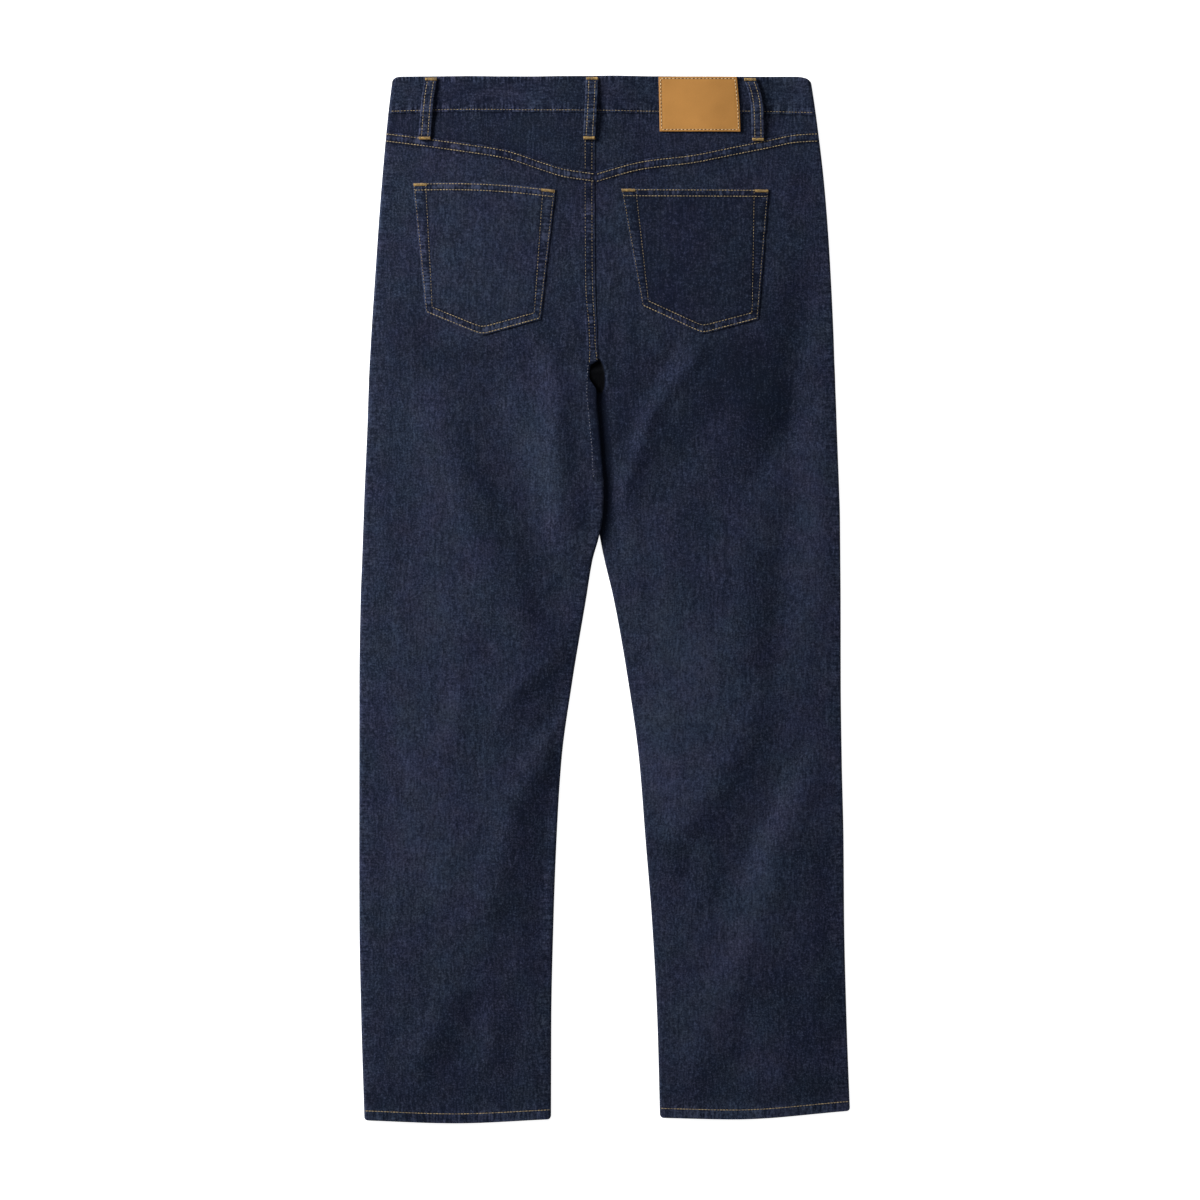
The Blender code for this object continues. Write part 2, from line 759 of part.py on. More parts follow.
def build_pocket(garment, side):
    """A patch pocket, sewn on at its sides and point, and open along its top."""
    pocket = POCKETS[side]
    columns, rows = 13, 11
    tip_share = 0.5

    def bottom_edge(share):
        if share < tip_share:
            part = share / tip_share
            return Mark(
                mix(pocket.bottom_left.x, pocket.point.x, part),
                mix(pocket.bottom_left.down, pocket.point.down, part),
            )
        part = (share - tip_share) / (1 - tip_share)
        return Mark(
            mix(pocket.point.x, pocket.bottom_right.x, part),
            mix(pocket.point.down, pocket.bottom_right.down, part),
        )

    def place(column, row):
        share, depth = column / (columns - 1), row / (rows - 1)
        top_x = mix(pocket.top_left.x, pocket.top_right.x, share)
        top_down = mix(pocket.top_left.down, pocket.top_right.down, share)
        top_down -= pocket.bow * math.sin(math.pi * share)
        low = bottom_edge(share)
        x, down = mix(top_x, low.x, depth), mix(top_down, low.down, depth)
        return x, down, back_outside(side, x, down) + 1.5 * GAP + DENIM

    garment.cloth(f"back_pocket_{side}", columns, rows, place, DENIM)


def highest_near(x, down, reach_x, reach_down):
    return max(
        top_of_back(x + dx, down + dy)
        for dx in (-reach_x, 0, reach_x)
        for dy in (-reach_down, 0, reach_down)
    )


def build_loop(garment, where):
    """A belt loop, tacked down at both ends with room for a belt between."""
    marks = BACK_LOOPS[where]
    middle_x = smooth_curve([m.down for m in marks], [m.x for m in marks])
    start, end = marks[0].down, marks[-1].down
    columns, rows = 3, 15

    def place(column, row):
        share = row / (rows - 1)
        down = mix(start, end, share)
        x = middle_x(down) + (column - 1) * LOOP_WIDTH / 2
        under = highest_near(middle_x(down), down, LOOP_WIDTH / 2 + 1, 5)
        room = BELT_ROOM * math.sin(math.pi * min(max((share - 0.06) / 0.88, 0), 1)) ** 0.7
        return x, down, under + GAP + room + LOOP

    garment.cloth(f"belt_loop_back_{where}", columns, rows, place, LOOP)


def build_front_loop(garment, side):
    """A belt loop on the front, between the waistband and the surface."""
    middle = centre(0) + FRONT_LOOP_OFFSET * (-1 if side == "left" else 1)
    columns, rows = 3, 11

    def place(column, row):
        share = row / (rows - 1)
        down = mix(FRONT_LOOP_TOP, FRONT_LOOP_BOTTOM, share)
        x = middle + (column - 1) * LOOP_WIDTH / 2
        over = front_outside(side, x, max(down + 6, 38)) if down > 30 else band_lift(x)
        height = max(min(over - GAP - LOOP, BAND_LIFT), 0.0)
        at_ends = 1 - math.sin(math.pi * share) ** 0.5
        return x, down, height * at_ends

    garment.cloth(f"belt_loop_front_{side}", columns, rows, place, LOOP, under=True)


def build_patch(garment):
    """The plain leather patch, over the waistband and the top of the right yoke."""
    columns, rows = 9, 8
    top_left, top_right, bottom_right, bottom_left = PATCH

    def place(column, row):
        across, depth = column / (columns - 1), row / (rows - 1)
        top_x = mix(top_left.x, top_right.x, across)
        low_x = mix(bottom_left.x, bottom_right.x, across)
        down = mix(top_left.down, bottom_left.down, depth)
        x = mix(top_x, low_x, depth)
        on_band = highest_near(x, min(down, 30), 5, 2)
        on_yoke = highest_near(x, 56, 5, 2)
        under = mix(on_band, on_yoke + 0.4, ease((down - 34) / 22))
        under = max(under, highest_near(x, down, 4, 3.5))
        return x, down, under + GAP + LEATHER

    garment.cloth("patch", columns, rows, place, LEATHER, garment.leather)


def build_zip(garment):
    """The closed zip, between the fly's two flaps."""
    columns, rows = 5, 9
    top, bottom = 41.0, 166.0

    def place(column, row):
        down = mix(top, bottom, row / (rows - 1))
        x = centre(down) - mix(24.0, 2.5, column / (columns - 1))
        return x, down, band_lift(x) * waist_share(down) + DENIM + GAP

    garment.cloth("fly_zip", columns, rows, place, DENIM, garment.tape, under=True)


def build_button(garment):
    """The waist button's head, under the buttonhole tab."""
    shape = bmesh.new()
    bmesh.ops.create_cone(
        shape,
        cap_ends=True,
        segments=24,
        radius1=BUTTON_RADIUS * MM,
        radius2=BUTTON_RADIUS * MM,
        depth=BUTTON_HEIGHT * MM,
    )
    piece = garment.add("waist_button", shape, garment.metal)
    piece.location = world(centre(0) - 4.0, 20.0, BUTTON_HEIGHT / 2)
    rounding = piece.modifiers.new("Rounding", "BEVEL")
    rounding.width = 0.6 * MM
    rounding.segments = 2


def main():
    garment = Garment()
    for side in ("left", "right"):
        LegPanel(side, "back").build(garment)
        LegPanel(side, "front").build(garment)
        build_yoke(garment, side)
        build_pocket(garment, side)
        build_facing(garment, side)
        build_front_loop(garment, side)
    build_waistband(garment)
    for where in BACK_LOOPS:
        build_loop(garment, where)
    build_patch(garment)
    build_zip(garment)
    build_button(garment)


main()
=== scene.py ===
"""The look of straight leg denim jeans that lie flat on their front, seen from above.

The sheets of cloth are laid on the solids of the frame: they repeat the garment's sizes, add its
finer creases, felled strips and stitch grooves, and get their walls. The threads are then sewn on.
Sizes and tables are in millimetres: x from the origin, down from the waistband's top edge, and
heights above the surface. Only Garment.world turns them into metres.
"""

import logging
import math
from contextlib import contextmanager
from dataclasses import dataclass, field
from enum import Enum
from typing import Callable, Iterator

import bpy
import numpy as np
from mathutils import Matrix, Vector
from mathutils.bvhtree import BVHTree


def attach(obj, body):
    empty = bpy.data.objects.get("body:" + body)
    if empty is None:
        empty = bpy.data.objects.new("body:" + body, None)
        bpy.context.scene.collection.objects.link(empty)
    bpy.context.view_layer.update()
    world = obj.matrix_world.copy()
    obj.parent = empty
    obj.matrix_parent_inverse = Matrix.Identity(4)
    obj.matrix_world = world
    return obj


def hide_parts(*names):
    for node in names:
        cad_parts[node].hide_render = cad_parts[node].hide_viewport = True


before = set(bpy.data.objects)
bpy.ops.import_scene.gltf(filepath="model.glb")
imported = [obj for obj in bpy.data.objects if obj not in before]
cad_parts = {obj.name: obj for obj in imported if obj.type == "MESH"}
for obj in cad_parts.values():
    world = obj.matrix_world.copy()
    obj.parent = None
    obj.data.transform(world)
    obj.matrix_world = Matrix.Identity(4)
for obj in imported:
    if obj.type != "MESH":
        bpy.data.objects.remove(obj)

MM = 0.001
BODY = "root"
LOG = logging.getLogger("jeans")

Field = np.ndarray
Place = tuple[Field, Field, Field]


class Side(Enum):
    """A leg, named for the wearer's side. The left one lies at negative x."""

    LEFT = "left"
    RIGHT = "right"

    @property
    def sign(self) -> int:
        """The direction from the middle towards this side."""
        return -1 if self is Side.LEFT else 1

    def in_order(self, outer: object, inner: object) -> tuple[object, object]:
        """What belongs to the outer and the inner edge, from left to right."""
        return (outer, inner) if self is Side.LEFT else (inner, outer)


class Grain(Enum):
    """How the warp of a piece runs when the jeans lie flat: the turn of its weave about +Z."""

    DOWN = 0.0
    ACROSS = math.pi / 2


class Facing(Enum):
    """Whether a sheet's outer face looks up, at the viewer, or down, at the surface."""

    UP = 1
    DOWN = -1


# ---------------------------------------------------------------- small mathematics


def ease(share: Field) -> Field:
    """A smooth step from 0 to 1."""
    share = np.clip(share, 0.0, 1.0)
    return share * share * (3 - 2 * share)


def ease_out(share: Field) -> Field:
    """A rise from 0 to 1 that slows down as it ends."""
    return 1 - (1 - np.clip(share, 0.0, 1.0)) ** 2


def mix(first: Field, second: Field, share: Field) -> Field:
    """The value that lies this share of the way from the first to the second."""
    return first + (second - first) * share


def bump(distance: Field, half_width: float) -> Field:
    """A soft hump of height 1 round a distance of 0."""
    return np.exp(-((distance / half_width) ** 2))


class SmoothCurve:
    """A cubic through points that never overshoots them, held level past its ends."""

    def __init__(self, places: list[float], values: list[float]) -> None:
        """Works out the curve's slope at each point.

        Args:
            places: The points' places, which rise.
            values: The curve's value at each of them.
        """
        self.places = np.asarray(places, float)
        self.values = np.asarray(values, float)
        self.gaps = np.diff(self.places)
        slopes = np.diff(self.values) / self.gaps
        before, after = slopes[:-1], slopes[1:]
        same_way = before * after > 0
        total = np.where(same_way, before + after, 1.0)
        inner = np.where(same_way, 2 * before * after / total, 0.0)
        self.tangents = np.concatenate([slopes[:1], inner, slopes[-1:]])

    def __call__(self, place: Field) -> Field:
        """The curve's value at one place or at an array of them."""
        place = np.clip(place, self.places[0], self.places[-1])
        k = np.clip(np.searchsorted(self.places, place, side="right") - 1, 0, len(self.gaps) - 1)
        t = (place - self.places[k]) / self.gaps[k]
        bend = (self.tangents[k] * (1 - t) - self.tangents[k + 1] * t) * self.gaps[k]
        return mix(self.values[k], self.values[k + 1], ease(t)) + t * (1 - t) * bend


LATTICE = 97  # the cells after which waves repeat
LATTICE_START = (31.7, 11.3)


@dataclass(frozen=True)
class Ripple:
    """Smooth uneven waves of one size, the same in each run."""

    across: float
    down: float
    seed: int

    def __call__(self, x: Field, down: Field) -> Field:
        """The height of the waves, from about -1 to 1."""
        lattice = np.random.default_rng(self.seed).uniform(-1.0, 1.0, (LATTICE, LATTICE))
        u = np.asarray(x, float) / self.across + LATTICE_START[0]
        v = np.asarray(down, float) / self.down + LATTICE_START[1]
        column, row = np.floor(u).astype(int), np.floor(v).astype(int)
        columns = (column % LATTICE, (column + 1) % LATTICE)
        near, far = (
            mix(lattice[level % LATTICE, columns[0]], lattice[level % LATTICE, columns[1]], ease(u - column))
            for level in (row, row + 1)
        )
        return mix(near, far, ease(v - row))


def patchy(x: Field, down: Field, size: float, seed: int) -> Field:
    """A share from 0.2 to 1 that varies from spot to spot, as rubbed cloth does."""
    return 0.6 + 0.4 * Ripple(size, size, seed)(x, down)


# ---------------------------------------------------------------- tables


@dataclass(frozen=True)
class Mark:
    """A point of a seam line or an edge."""

    x: float
    down: float


@dataclass(frozen=True)
class Section:
    """The outline of both legs at one level."""

    down: float
    left_outer: float
    left_inner: float
    right_inner: float
    right_outer: float


def marks(*places: tuple[float, float]) -> list[Mark]:
    """Points, each from its x and down."""
    return [Mark(*place) for place in places]


@dataclass(frozen=True)
class Fold:
    """A soft ridge, or a trough where its height is negative, along a straight line."""

    start: Mark
    end: Mark
    half_width: float
    height: float


def folds(*rows: tuple[float, ...]) -> list[Fold]:
    """Folds, each from its start, its end, its half width and its height."""
    return [Fold(Mark(*row[:2]), Mark(*row[2:4]), *row[4:]) for row in rows]


@dataclass(frozen=True)
class PocketCut:
    """A back pocket's corners, its lower point, and the rise of its top edge."""

    top_left: Mark
    top_right: Mark
    bottom_left: Mark
    point: Mark
    bottom_right: Mark
    bow: float
    row_top: float  # from the outer side row to the inner one, at the top
    row_bottom: float  # and at the bottom corners


SECTIONS = [
    Section(0, -212.0, -9.2, -8.9, 206.0),
    Section(37, -216.5, -9.5, -9.2, 211.5),
    Section(114, -223.5, -9.5, -9.2, 220.5),
    Section(190, -229.0, -9.2, -8.9, 226.0),
    Section(262, -233.8, -7.2, -6.9, 229.5),
    Section(284, -235.0, -6.6, -6.3, 230.2),
    Section(300, -235.7, -8.0, -7.5, 230.9),
    Section(314, -236.2, -8.1, -7.4, 231.3),
    Section(326, -236.7, -7.4, -8.4, 231.8),
    Section(350, -237.5, -5.0, -12.0, 232.6),
    Section(374, -238.5, -3.0, -13.2, 233.5),
    Section(414, -240.3, -0.6, -11.0, 235.0),
    Section(439, -241.2, -1.6, -8.4, 235.8),
    Section(461, -242.0, -5.6, -4.6, 236.0),
    Section(484, -242.8, -12.0, 0.0, 236.2),
    Section(524, -244.3, -18.6, 9.4, 236.5),
    Section(604, -245.5, -32.0, 23.5, 236.6),
    Section(684, -245.6, -43.0, 34.6, 237.6),
    Section(764, -245.7, -48.0, 41.0, 239.4),
    Section(844, -245.5, -51.0, 47.4, 240.0),
    Section(944, -243.6, -53.2, 52.8, 242.4),
    Section(1046, -240.4, -53.5, 55.6, 246.2),
]
BAND_BOTTOM = marks(
    (-217, 38.0), (-150, 36.4), (-20, 37.6), (60, 38.4), (140, 38.0), (212, 39.4)
)
YOKE_LEFT = marks(
    (-219, 55.6), (-187, 59.6), (-144, 65.8), (-99, 73.0), (-63, 84.7), (-41, 91.5), (-9, 96.2)
)
YOKE_RIGHT = marks(
    (-9, 96.2), (41, 83.0), (87, 77.4), (128, 69.3), (162, 62.5), (193, 56.4), (214, 55.2)
)
HEM_LEFT = marks((-240, 1044.7), (-150, 1047.7), (-54, 1043.6))
HEM_RIGHT = marks((56, 1042.2), (130, 1043.8), (245, 1035.2))
POCKETS = {
    Side.LEFT: PocketCut(
        *marks((-191.9, 107.0), (-48.9, 113.8), (-179.0, 236.8), (-122.7, 259.7), (-63.8, 243.5)),
        bow=3.0,
        row_top=11.5,
        row_bottom=5.6,
    ),
    Side.RIGHT: PocketCut(
        *marks((16.2, 112.6), (164.6, 113.3), (37.4, 230.3), (98.1, 258.2), (153.8, 243.5)),
        bow=0.0,
        row_top=13.5,
        row_bottom=5.6,
    ),
}
BACK_LOOPS = {
    "left": marks((-173.2, 1.5), (-176.8, 25), (-180.0, 64.5)),
    "centre": marks((-12.3, 1.5), (-13.4, 30), (-15.4, 64.9)),
    "right": marks((144.8, 2.0), (150.5, 19), (152.6, 34), (153.5, 65.8)),
}
PATCH = marks((54.1, 1.2), (132.2, 1.2), (135.9, 56.0), (55.2, 56.0))

FOLDS = folds(
    # Left leg
    (-166, 354, -80, 564, 28, 2.2),
    (-112, 324, -45, 514, 22, -1.7),
    (-52, 286, -49, 444, 15, 1.9),
    (-174, 290, -77, 284, 15, -1.2),
    (-49, 576, -106, 636, 16, 1.4),
    (-39, 624, -82, 676, 15, -1.4),
    (-64, 669, -114, 824, 24, 2.0),
    (-49, 724, -69, 854, 18, -1.2),
    (-142, 612, -156, 676, 14, 0.8),
    (-156, 924, -186, 990, 17, 0.9),
    (-127, 936, -152, 1004, 16, -0.9),
    (-112, 944, -114, 994, 12, 0.4),
    (-85, 954, -91, 999, 14, -0.6),
    # Right leg
    (72, 269, 20, 360, 15, -1.2),
    (94, 278, 46, 340, 11, 1.5),
    (46, 340, 20, 412, 10, 1.4),
    (127, 322, 50, 432, 19, -0.9),
    (124, 276, 138, 334, 20, 1.2),
    (198, 224, 188, 344, 25, -2.0),
    (186, 349, 148, 406, 18, -1.4),
    (60, 444, 68, 564, 26, 0.9),
    (142, 469, 140, 579, 22, 1.0),
    (180, 444, 176, 584, 19, -1.5),
    (152, 636, 86, 754, 21, 1.7),
    (196, 672, 134, 796, 17, -1.8),
    (200, 714, 134, 909, 24, 1.9),
    (88, 766, 78, 828, 13, -1.0),
    (100, 924, 92, 974, 16, 1.0),
    (140, 924, 134, 999, 18, -1.1),
)

# Finer creases on the cloth that shows
CREASES = folds(
    # Under the yoke and round the pockets
    (-205, 98, -212, 176, 8, -0.35),
    (-200, 190, -190, 262, 9, 0.4),
    (-38, 128, -30, 214, 8, -0.4),
    (-24, 158, -22, 252, 6, 0.35),
    (4, 150, 2, 248, 7, 0.45),
    (184, 120, 178, 196, 9, 0.5),
    (206, 150, 200, 214, 8, -0.4),
    (-60, 262, -34, 300, 7, -0.5),
    (14, 236, 32, 268, 8, 0.45),
    # Drawn in towards the crotch
    (-96, 300, -26, 330, 7, 0.45),
    (-74, 338, -24, 352, 6, -0.4),
    (-30, 318, -34, 398, 6, -0.55),
    (8, 322, 4, 392, 6, 0.5),
    (22, 330, 14, 440, 8, -0.5),
    (64, 300, 24, 348, 6, 0.45),
    # Thighs
    (-196, 360, -182, 470, 10, -0.4),
    (-214, 430, -206, 548, 9, 0.45),
    (-140, 430, -118, 500, 9, 0.4),
    (96, 398, 112, 470, 9, -0.4),
    (206, 380, 212, 470, 9, 0.5),
    (22, 470, 36, 560, 8, 0.5),
    # Knees and shins
    (-200, 600, -190, 690, 10, 0.45),
    (-220, 700, -216, 800, 9, -0.4),
    (-128, 640, -108, 700, 8, -0.4),
    (-150, 760, -168, 850, 10, 0.45),
    (-196, 850, -204, 936, 9, 0.4),
    (-78, 880, -72, 940, 8, 0.4),
    (60, 640, 78, 730, 9, 0.45),
    (112, 700, 92, 760, 7, -0.4),
    (214, 560, 216, 640, 9, -0.45),
    (160, 820, 150, 896, 9, -0.4),
    (206, 860, 212, 960, 10, 0.5),
    (78, 876, 74, 960, 9, -0.4),
    (180, 950, 176, 1010, 9, 0.4),
)

# Soft strokes of painted shade (below 0) and painted light (above 0), laid on the back's colour
PAINTED_LIGHT_AND_SHADE = folds(
    # Left seat and thigh
    (-199, 246, -184, 264, 13, -0.26),
    (-172, 284, -76, 290, 15, -0.17),
    (-58, 246, -48, 270, 11, -0.22),
    (-27, 256, -26, 280, 8, -0.20),
    (-75, 340, -70, 390, 11, 0.22),
    (-51, 306, -48, 440, 8, 0.13),
    (-36, 340, -33, 390, 7, -0.30),
    (-31, 396, -21, 446, 9, -0.24),
    (-152, 300, -124, 350, 13, -0.12),
    (-140, 366, -118, 410, 12, -0.26),
    (-112, 420, -100, 466, 9, -0.32),
    (-84, 462, -72, 540, 8, -0.36),
    (-70, 540, -58, 566, 10, -0.18),
    (-104, 524, -127, 584, 9, -0.16),
    (-188, 330, -160, 540, 26, 0.10),
    (-208, 262, -223, 600, 6, -0.12),
    # Left knee and shin
    (-48, 602, -76, 616, 14, -0.26),
    (-80, 620, -90, 652, 10, -0.20),
    (-152, 622, -172, 668, 12, 0.14),
    (-229, 620, -222, 1000, 6, -0.10),
    (-194, 690, -192, 790, 16, 0.08),
    (-124, 700, -112, 756, 11, 0.10),
    (-50, 690, -82, 734, 12, -0.38),
    (-84, 740, -100, 836, 12, -0.30),
    (-64, 760, -72, 920, 16, -0.10),
    (-72, 856, -96, 940, 8, -0.18),
    (-108, 846, -112, 930, 14, -0.16),
    (-136, 922, -176, 992, 12, -0.30),
    (-100, 946, -100, 972, 12, -0.22),
    (-110, 984, -120, 1000, 10, -0.18),
    (-196, 940, -202, 1000, 14, 0.08),
    (-150, 990, -140, 1018, 16, -0.14),
    (-226, 1020, -180, 1026, 14, -0.14),
    # Right seat
    (4, 236, 9, 306, 6, -0.26),
    (28, 244, 30, 300, 8, -0.24),
    (18, 308, 14, 380, 10, -0.30),
    (84, 286, 66, 304, 9, 0.06),
    (58, 320, 40, 360, 9, 0.08),
    (36, 370, 22, 410, 7, 0.06),
    (100, 326, 66, 358, 11, -0.22),
    (54, 372, 32, 404, 8, -0.24),
    (27, 410, 22, 446, 7, -0.20),
    (104, 274, 150, 286, 22, -0.26),
    (116, 316, 150, 330, 22, -0.22),
    (172, 250, 176, 320, 11, -0.34),
    (181, 310, 180, 346, 9, -0.24),
    (196, 214, 192, 252, 13, -0.30),
    (164, 206, 166, 236, 8, -0.20),
    (150, 366, 118, 384, 14, -0.12),
    (208, 330, 212, 480, 16, 0.14),
    # Right thigh and knee
    (182, 400, 184, 470, 9, -0.16),
    (162, 486, 156, 596, 12, -0.22),
    (62, 396, 84, 400, 12, 0.12),
    (50, 470, 96, 640, 34, 0.12),
    (46, 640, 62, 740, 18, 0.16),
    (202, 590, 206, 720, 16, -0.12),
    (162, 652, 146, 690, 12, -0.24),
    (142, 696, 116, 742, 16, -0.30),
    (106, 750, 84, 760, 14, -0.20),
    (62, 774, 76, 792, 14, -0.28),
    (112, 764, 106, 822, 14, -0.26),
    (188, 640, 172, 730, 10, 0.20),
    (158, 760, 138, 860, 15, 0.18),
    (116, 880, 100, 964, 13, 0.16),
    # Broad ones
    (-38, 120, -30, 220, 14, -0.14),
    (130, 296, 156, 340, 42, -0.40),
    (30, 320, 90, 420, 30, -0.16),
    (-190, 540, -184, 790, 48, 0.17),
    (84, 570, 64, 690, 38, 0.32),
    (206, 560, 212, 730, 30, 0.17),
    (120, 780, 150, 990, 90, 0.12),
    (-190, 1000, -70, 1010, 40, -0.06),
    (70, 1038, 232, 1034, 8, 0.16),
    (-236, 1042, -60, 1042, 8, 0.10),
    (180, 90, 186, 220, 22, -0.10),
    (20, 110, 110, 90, 14, -0.10),
    (-150, 340, -160, 820, 60, 0.05),
    (202, 380, 206, 520, 24, 0.22),
    (-84, 300, -66, 440, 26, 0.10),
    # Right shin
    (198, 764, 196, 800, 10, -0.12),
    (218, 774, 217, 856, 10, -0.34),
    (204, 866, 172, 904, 14, -0.20),
    (222, 900, 214, 1010, 26, -0.26),
    (142, 930, 132, 974, 10, -0.20),
    (176, 930, 186, 1010, 26, -0.24),
    (120, 984, 100, 1004, 13, -0.24),
    (70, 1010, 140, 1016, 14, -0.14),
)

# On the front, which lies under, the like of those above
FRONT_CREASES = folds(
    (-190, 150, -120, 190, 9, 0.5),
    (-170, 214, -60, 250, 10, 0.6),
    (-120, 276, -34, 300, 8, 0.7),
    (-90, 316, -30, 310, 7, 0.6),
    (26, 306, 96, 270, 8, 0.7),
    (40, 250, 164, 206, 10, 0.6),
    (20, 330, 74, 352, 7, 0.5),
    (150, 176, 196, 150, 9, 0.4),
    (-206, 500, -96, 580, 12, 0.5),
    (-200, 604, -90, 616, 10, 0.6),
    (-190, 680, -80, 640, 11, 0.5),
    (66, 596, 190, 634, 11, 0.6),
    (70, 668, 200, 660, 10, 0.5),
    (84, 720, 206, 700, 12, 0.5),
    (-190, 900, -120, 960, 11, 0.5),
    (100, 930, 200, 900, 11, 0.5),
)


# ---------------------------------------------------------------- how the garment lies


@dataclass(frozen=True)
class Cloth:
    """Thicknesses of cloth and of what is folded from it."""

    denim: float = 1.2
    band: float = 2.4  # the waistband's two layers
    hem: float = 2.4  # the turned up hem
    leather: float = 1.4
    loop: float = 1.6  # folded in three
    gap: float = 0.3  # between neighbouring pieces


CLOTH = Cloth()


@dataclass(frozen=True)
class Garment:
    """The outline, the seam lines and the heights of the jeans as they lie."""

    length: float = 1046.0
    band_depth: float = 37.0
    hem_depth: float = 10.5
    hem_space: float = 3.5
    seat_space: float = 3.8
    leg_space: float = 2.6
    seat_crown: float = 1.2
    leg_crown: float = 2.2
    seat_end: float = 200.0
    crown_width: float = 45.0
    least_space: float = 1.7
    most_space: float = 8.5
    fold_fade: float = 16.0
    seat_seam: float = 3.3
    leg_seam: float = 2.0
    crotch: float = 290.0
    crotch_turn_width: float = 24.0
    slit_open: float = 288.0
    slit_top: float = 314.0
    slit_end: float = 462.0
    slit_closed: float = 502.0
    left_lift: float = 4.2
    lift_flat: float = 13.0
    lift_slope: float = 50.0
    thin_space: float = 2.4
    thin_seam: float = 1.8
    waist_fall: float = 150.0
    band_lift_height: float = 2.5
    flat_half: float = 110.0
    slope_half: float = 180.0
    band_room: float = 1.0
    yoke_step: float = 0.7
    over_left: float = -28.0
    over_right: float = 17.0
    over_slope: float = 43.0
    tab_end: float = 12.0
    under_end: float = 25.0
    fly_start: float = 170.0
    fly_end: float = 200.0
    ramp_start: float = 13.0
    ramp_end: float = 29.0
    scoop_top: float = 37.0
    scoop_width: float = 105.0
    scoop_depth: float = 90.0
    fell_width: float = 10.6  # a lapped seam's raised strip
    fell_raise_height: float = 0.8
    groove: float = 0.30  # how far the threads draw the cloth in
    groove_half: float = 0.8
    thin_flat: dict[Side, float] = field(default_factory=lambda: {Side.LEFT: 8.0, Side.RIGHT: 16.0})
    thin_slope: dict[Side, float] = field(
        default_factory=lambda: {Side.LEFT: 26.0, Side.RIGHT: 17.0}
    )

    def __post_init__(self) -> None:
        """Turns the tables into curves."""
        downs = [s.down for s in SECTIONS]
        curves = {
            name: SmoothCurve(downs, [getattr(s, name) for s in SECTIONS])
            for name in ("left_outer", "left_inner", "right_inner", "right_outer")
        }
        lines = {
            "band": BAND_BOTTOM,
            "left_yoke": YOKE_LEFT,
            "right_yoke": YOKE_RIGHT,
            "left_hem": HEM_LEFT,
            "right_hem": HEM_RIGHT,
        }
        for name, marks in lines.items():
            curves[name] = SmoothCurve([m.x for m in marks], [m.down for m in marks])
        object.__setattr__(self, "curves", curves)

    # Outline and seam lines

    def outer(self, side: Side, down: Field) -> Field:
        """The x of a leg's outer edge."""
        return self.curves[f"{side.value}_outer"](down)

    def inner(self, side: Side, down: Field) -> Field:
        """The x of a leg's inner edge, which is the centre seam above the crotch."""
        return self.curves[f"{side.value}_inner"](down)

    def band_bottom(self, x: Field) -> Field:
        """The waistband's lower edge."""
        return self.curves["band"](x)

    def yoke_line(self, side: Side, x: Field) -> Field:
        """The seam between a yoke and the leg under it."""
        return self.curves[f"{side.value}_yoke"](x)

    def hem_line(self, side: Side, x: Field) -> Field:
        """The lower edge of a leg."""
        return self.curves[f"{side.value}_hem"](x)

    def centre(self, down: Field) -> Field:
        """The x of the centre seams."""
        return self.inner(Side.LEFT, np.minimum(down, SECTIONS[5].down))

    def scoop(self, down: Field) -> Field:
        """How far the scooped front pocket opening cuts in from the side."""
        depth = np.clip((down - self.scoop_top) / self.scoop_depth, 0.0, 1.0)
        return self.scoop_width * (1 - depth**2)

    @property
    def scoop_end(self) -> float:
        """The level at which the scoop meets the side."""
        return self.scoop_top + self.scoop_depth

    # Heights

    def folds(self, x: Field, down: Field, table: list[Fold], narrow: float = 1.0) -> Field:
        """The sum of a table's ridges and troughs, or of narrower ones along the same lines."""
        total = np.zeros(np.broadcast(x, down).shape)
        for fold in table:
            along_x, along_down = fold.end.x - fold.start.x, fold.end.down - fold.start.down
            from_x, from_down = x - fold.start.x, down - fold.start.down
            length = math.hypot(along_x, along_down)
            share = np.clip((from_x * along_x + from_down * along_down) / length**2, 0.0, 1.0)
            off = np.hypot(from_x - along_x * share, from_down - along_down * share)
            total += fold.height * bump(off, fold.half_width * narrow)
        return total

    def waist_share(self, down: Field) -> Field:
        """1 at the waistband, and 0 where the waist's extra height has gone."""
        return 1 - ease((down - self.band_depth) / (self.waist_fall - self.band_depth))

    def band_lift(self, x: Field) -> Field:
        """How far the waistband's front is held off the surface by the button and loops."""
        off_centre = np.abs(x - self.centre(0))
        slope = self.slope_half - self.flat_half
        return self.band_lift_height * (1 - ease((off_centre - self.flat_half) / slope))

    def band_inside(self, x: Field) -> Field:
        """The inside of the waistband's back, which clears the two overlapping front ends."""
        from_centre = x - self.centre(0)
        left = (self.over_left - from_centre) / self.over_slope
        right = (from_centre - self.over_right) / self.over_slope
        ends = (1 - ease(left)) * (1 - ease(right))
        return self.band_lift(x) + CLOTH.band + self.band_room + (CLOTH.band + CLOTH.gap) * ends

    def slit_share(self, down: Field) -> Field:
        """1 where one leg's inner edge lies on the other's."""
        opening = ease((down - self.slit_open) / (self.slit_top - self.slit_open))
        closing = ease((down - self.slit_end) / (self.slit_closed - self.slit_end))
        return opening * (1 - closing)

    def from_inner(self, side: Side, x: Field, down: Field) -> Field:
        """The distance from a leg's inner edge."""
        return np.abs(x - self.inner(side, down))

    def from_outer(self, side: Side, x: Field, down: Field) -> Field:
        """The distance from a leg's outer edge."""
        return np.abs(x - self.outer(side, down))

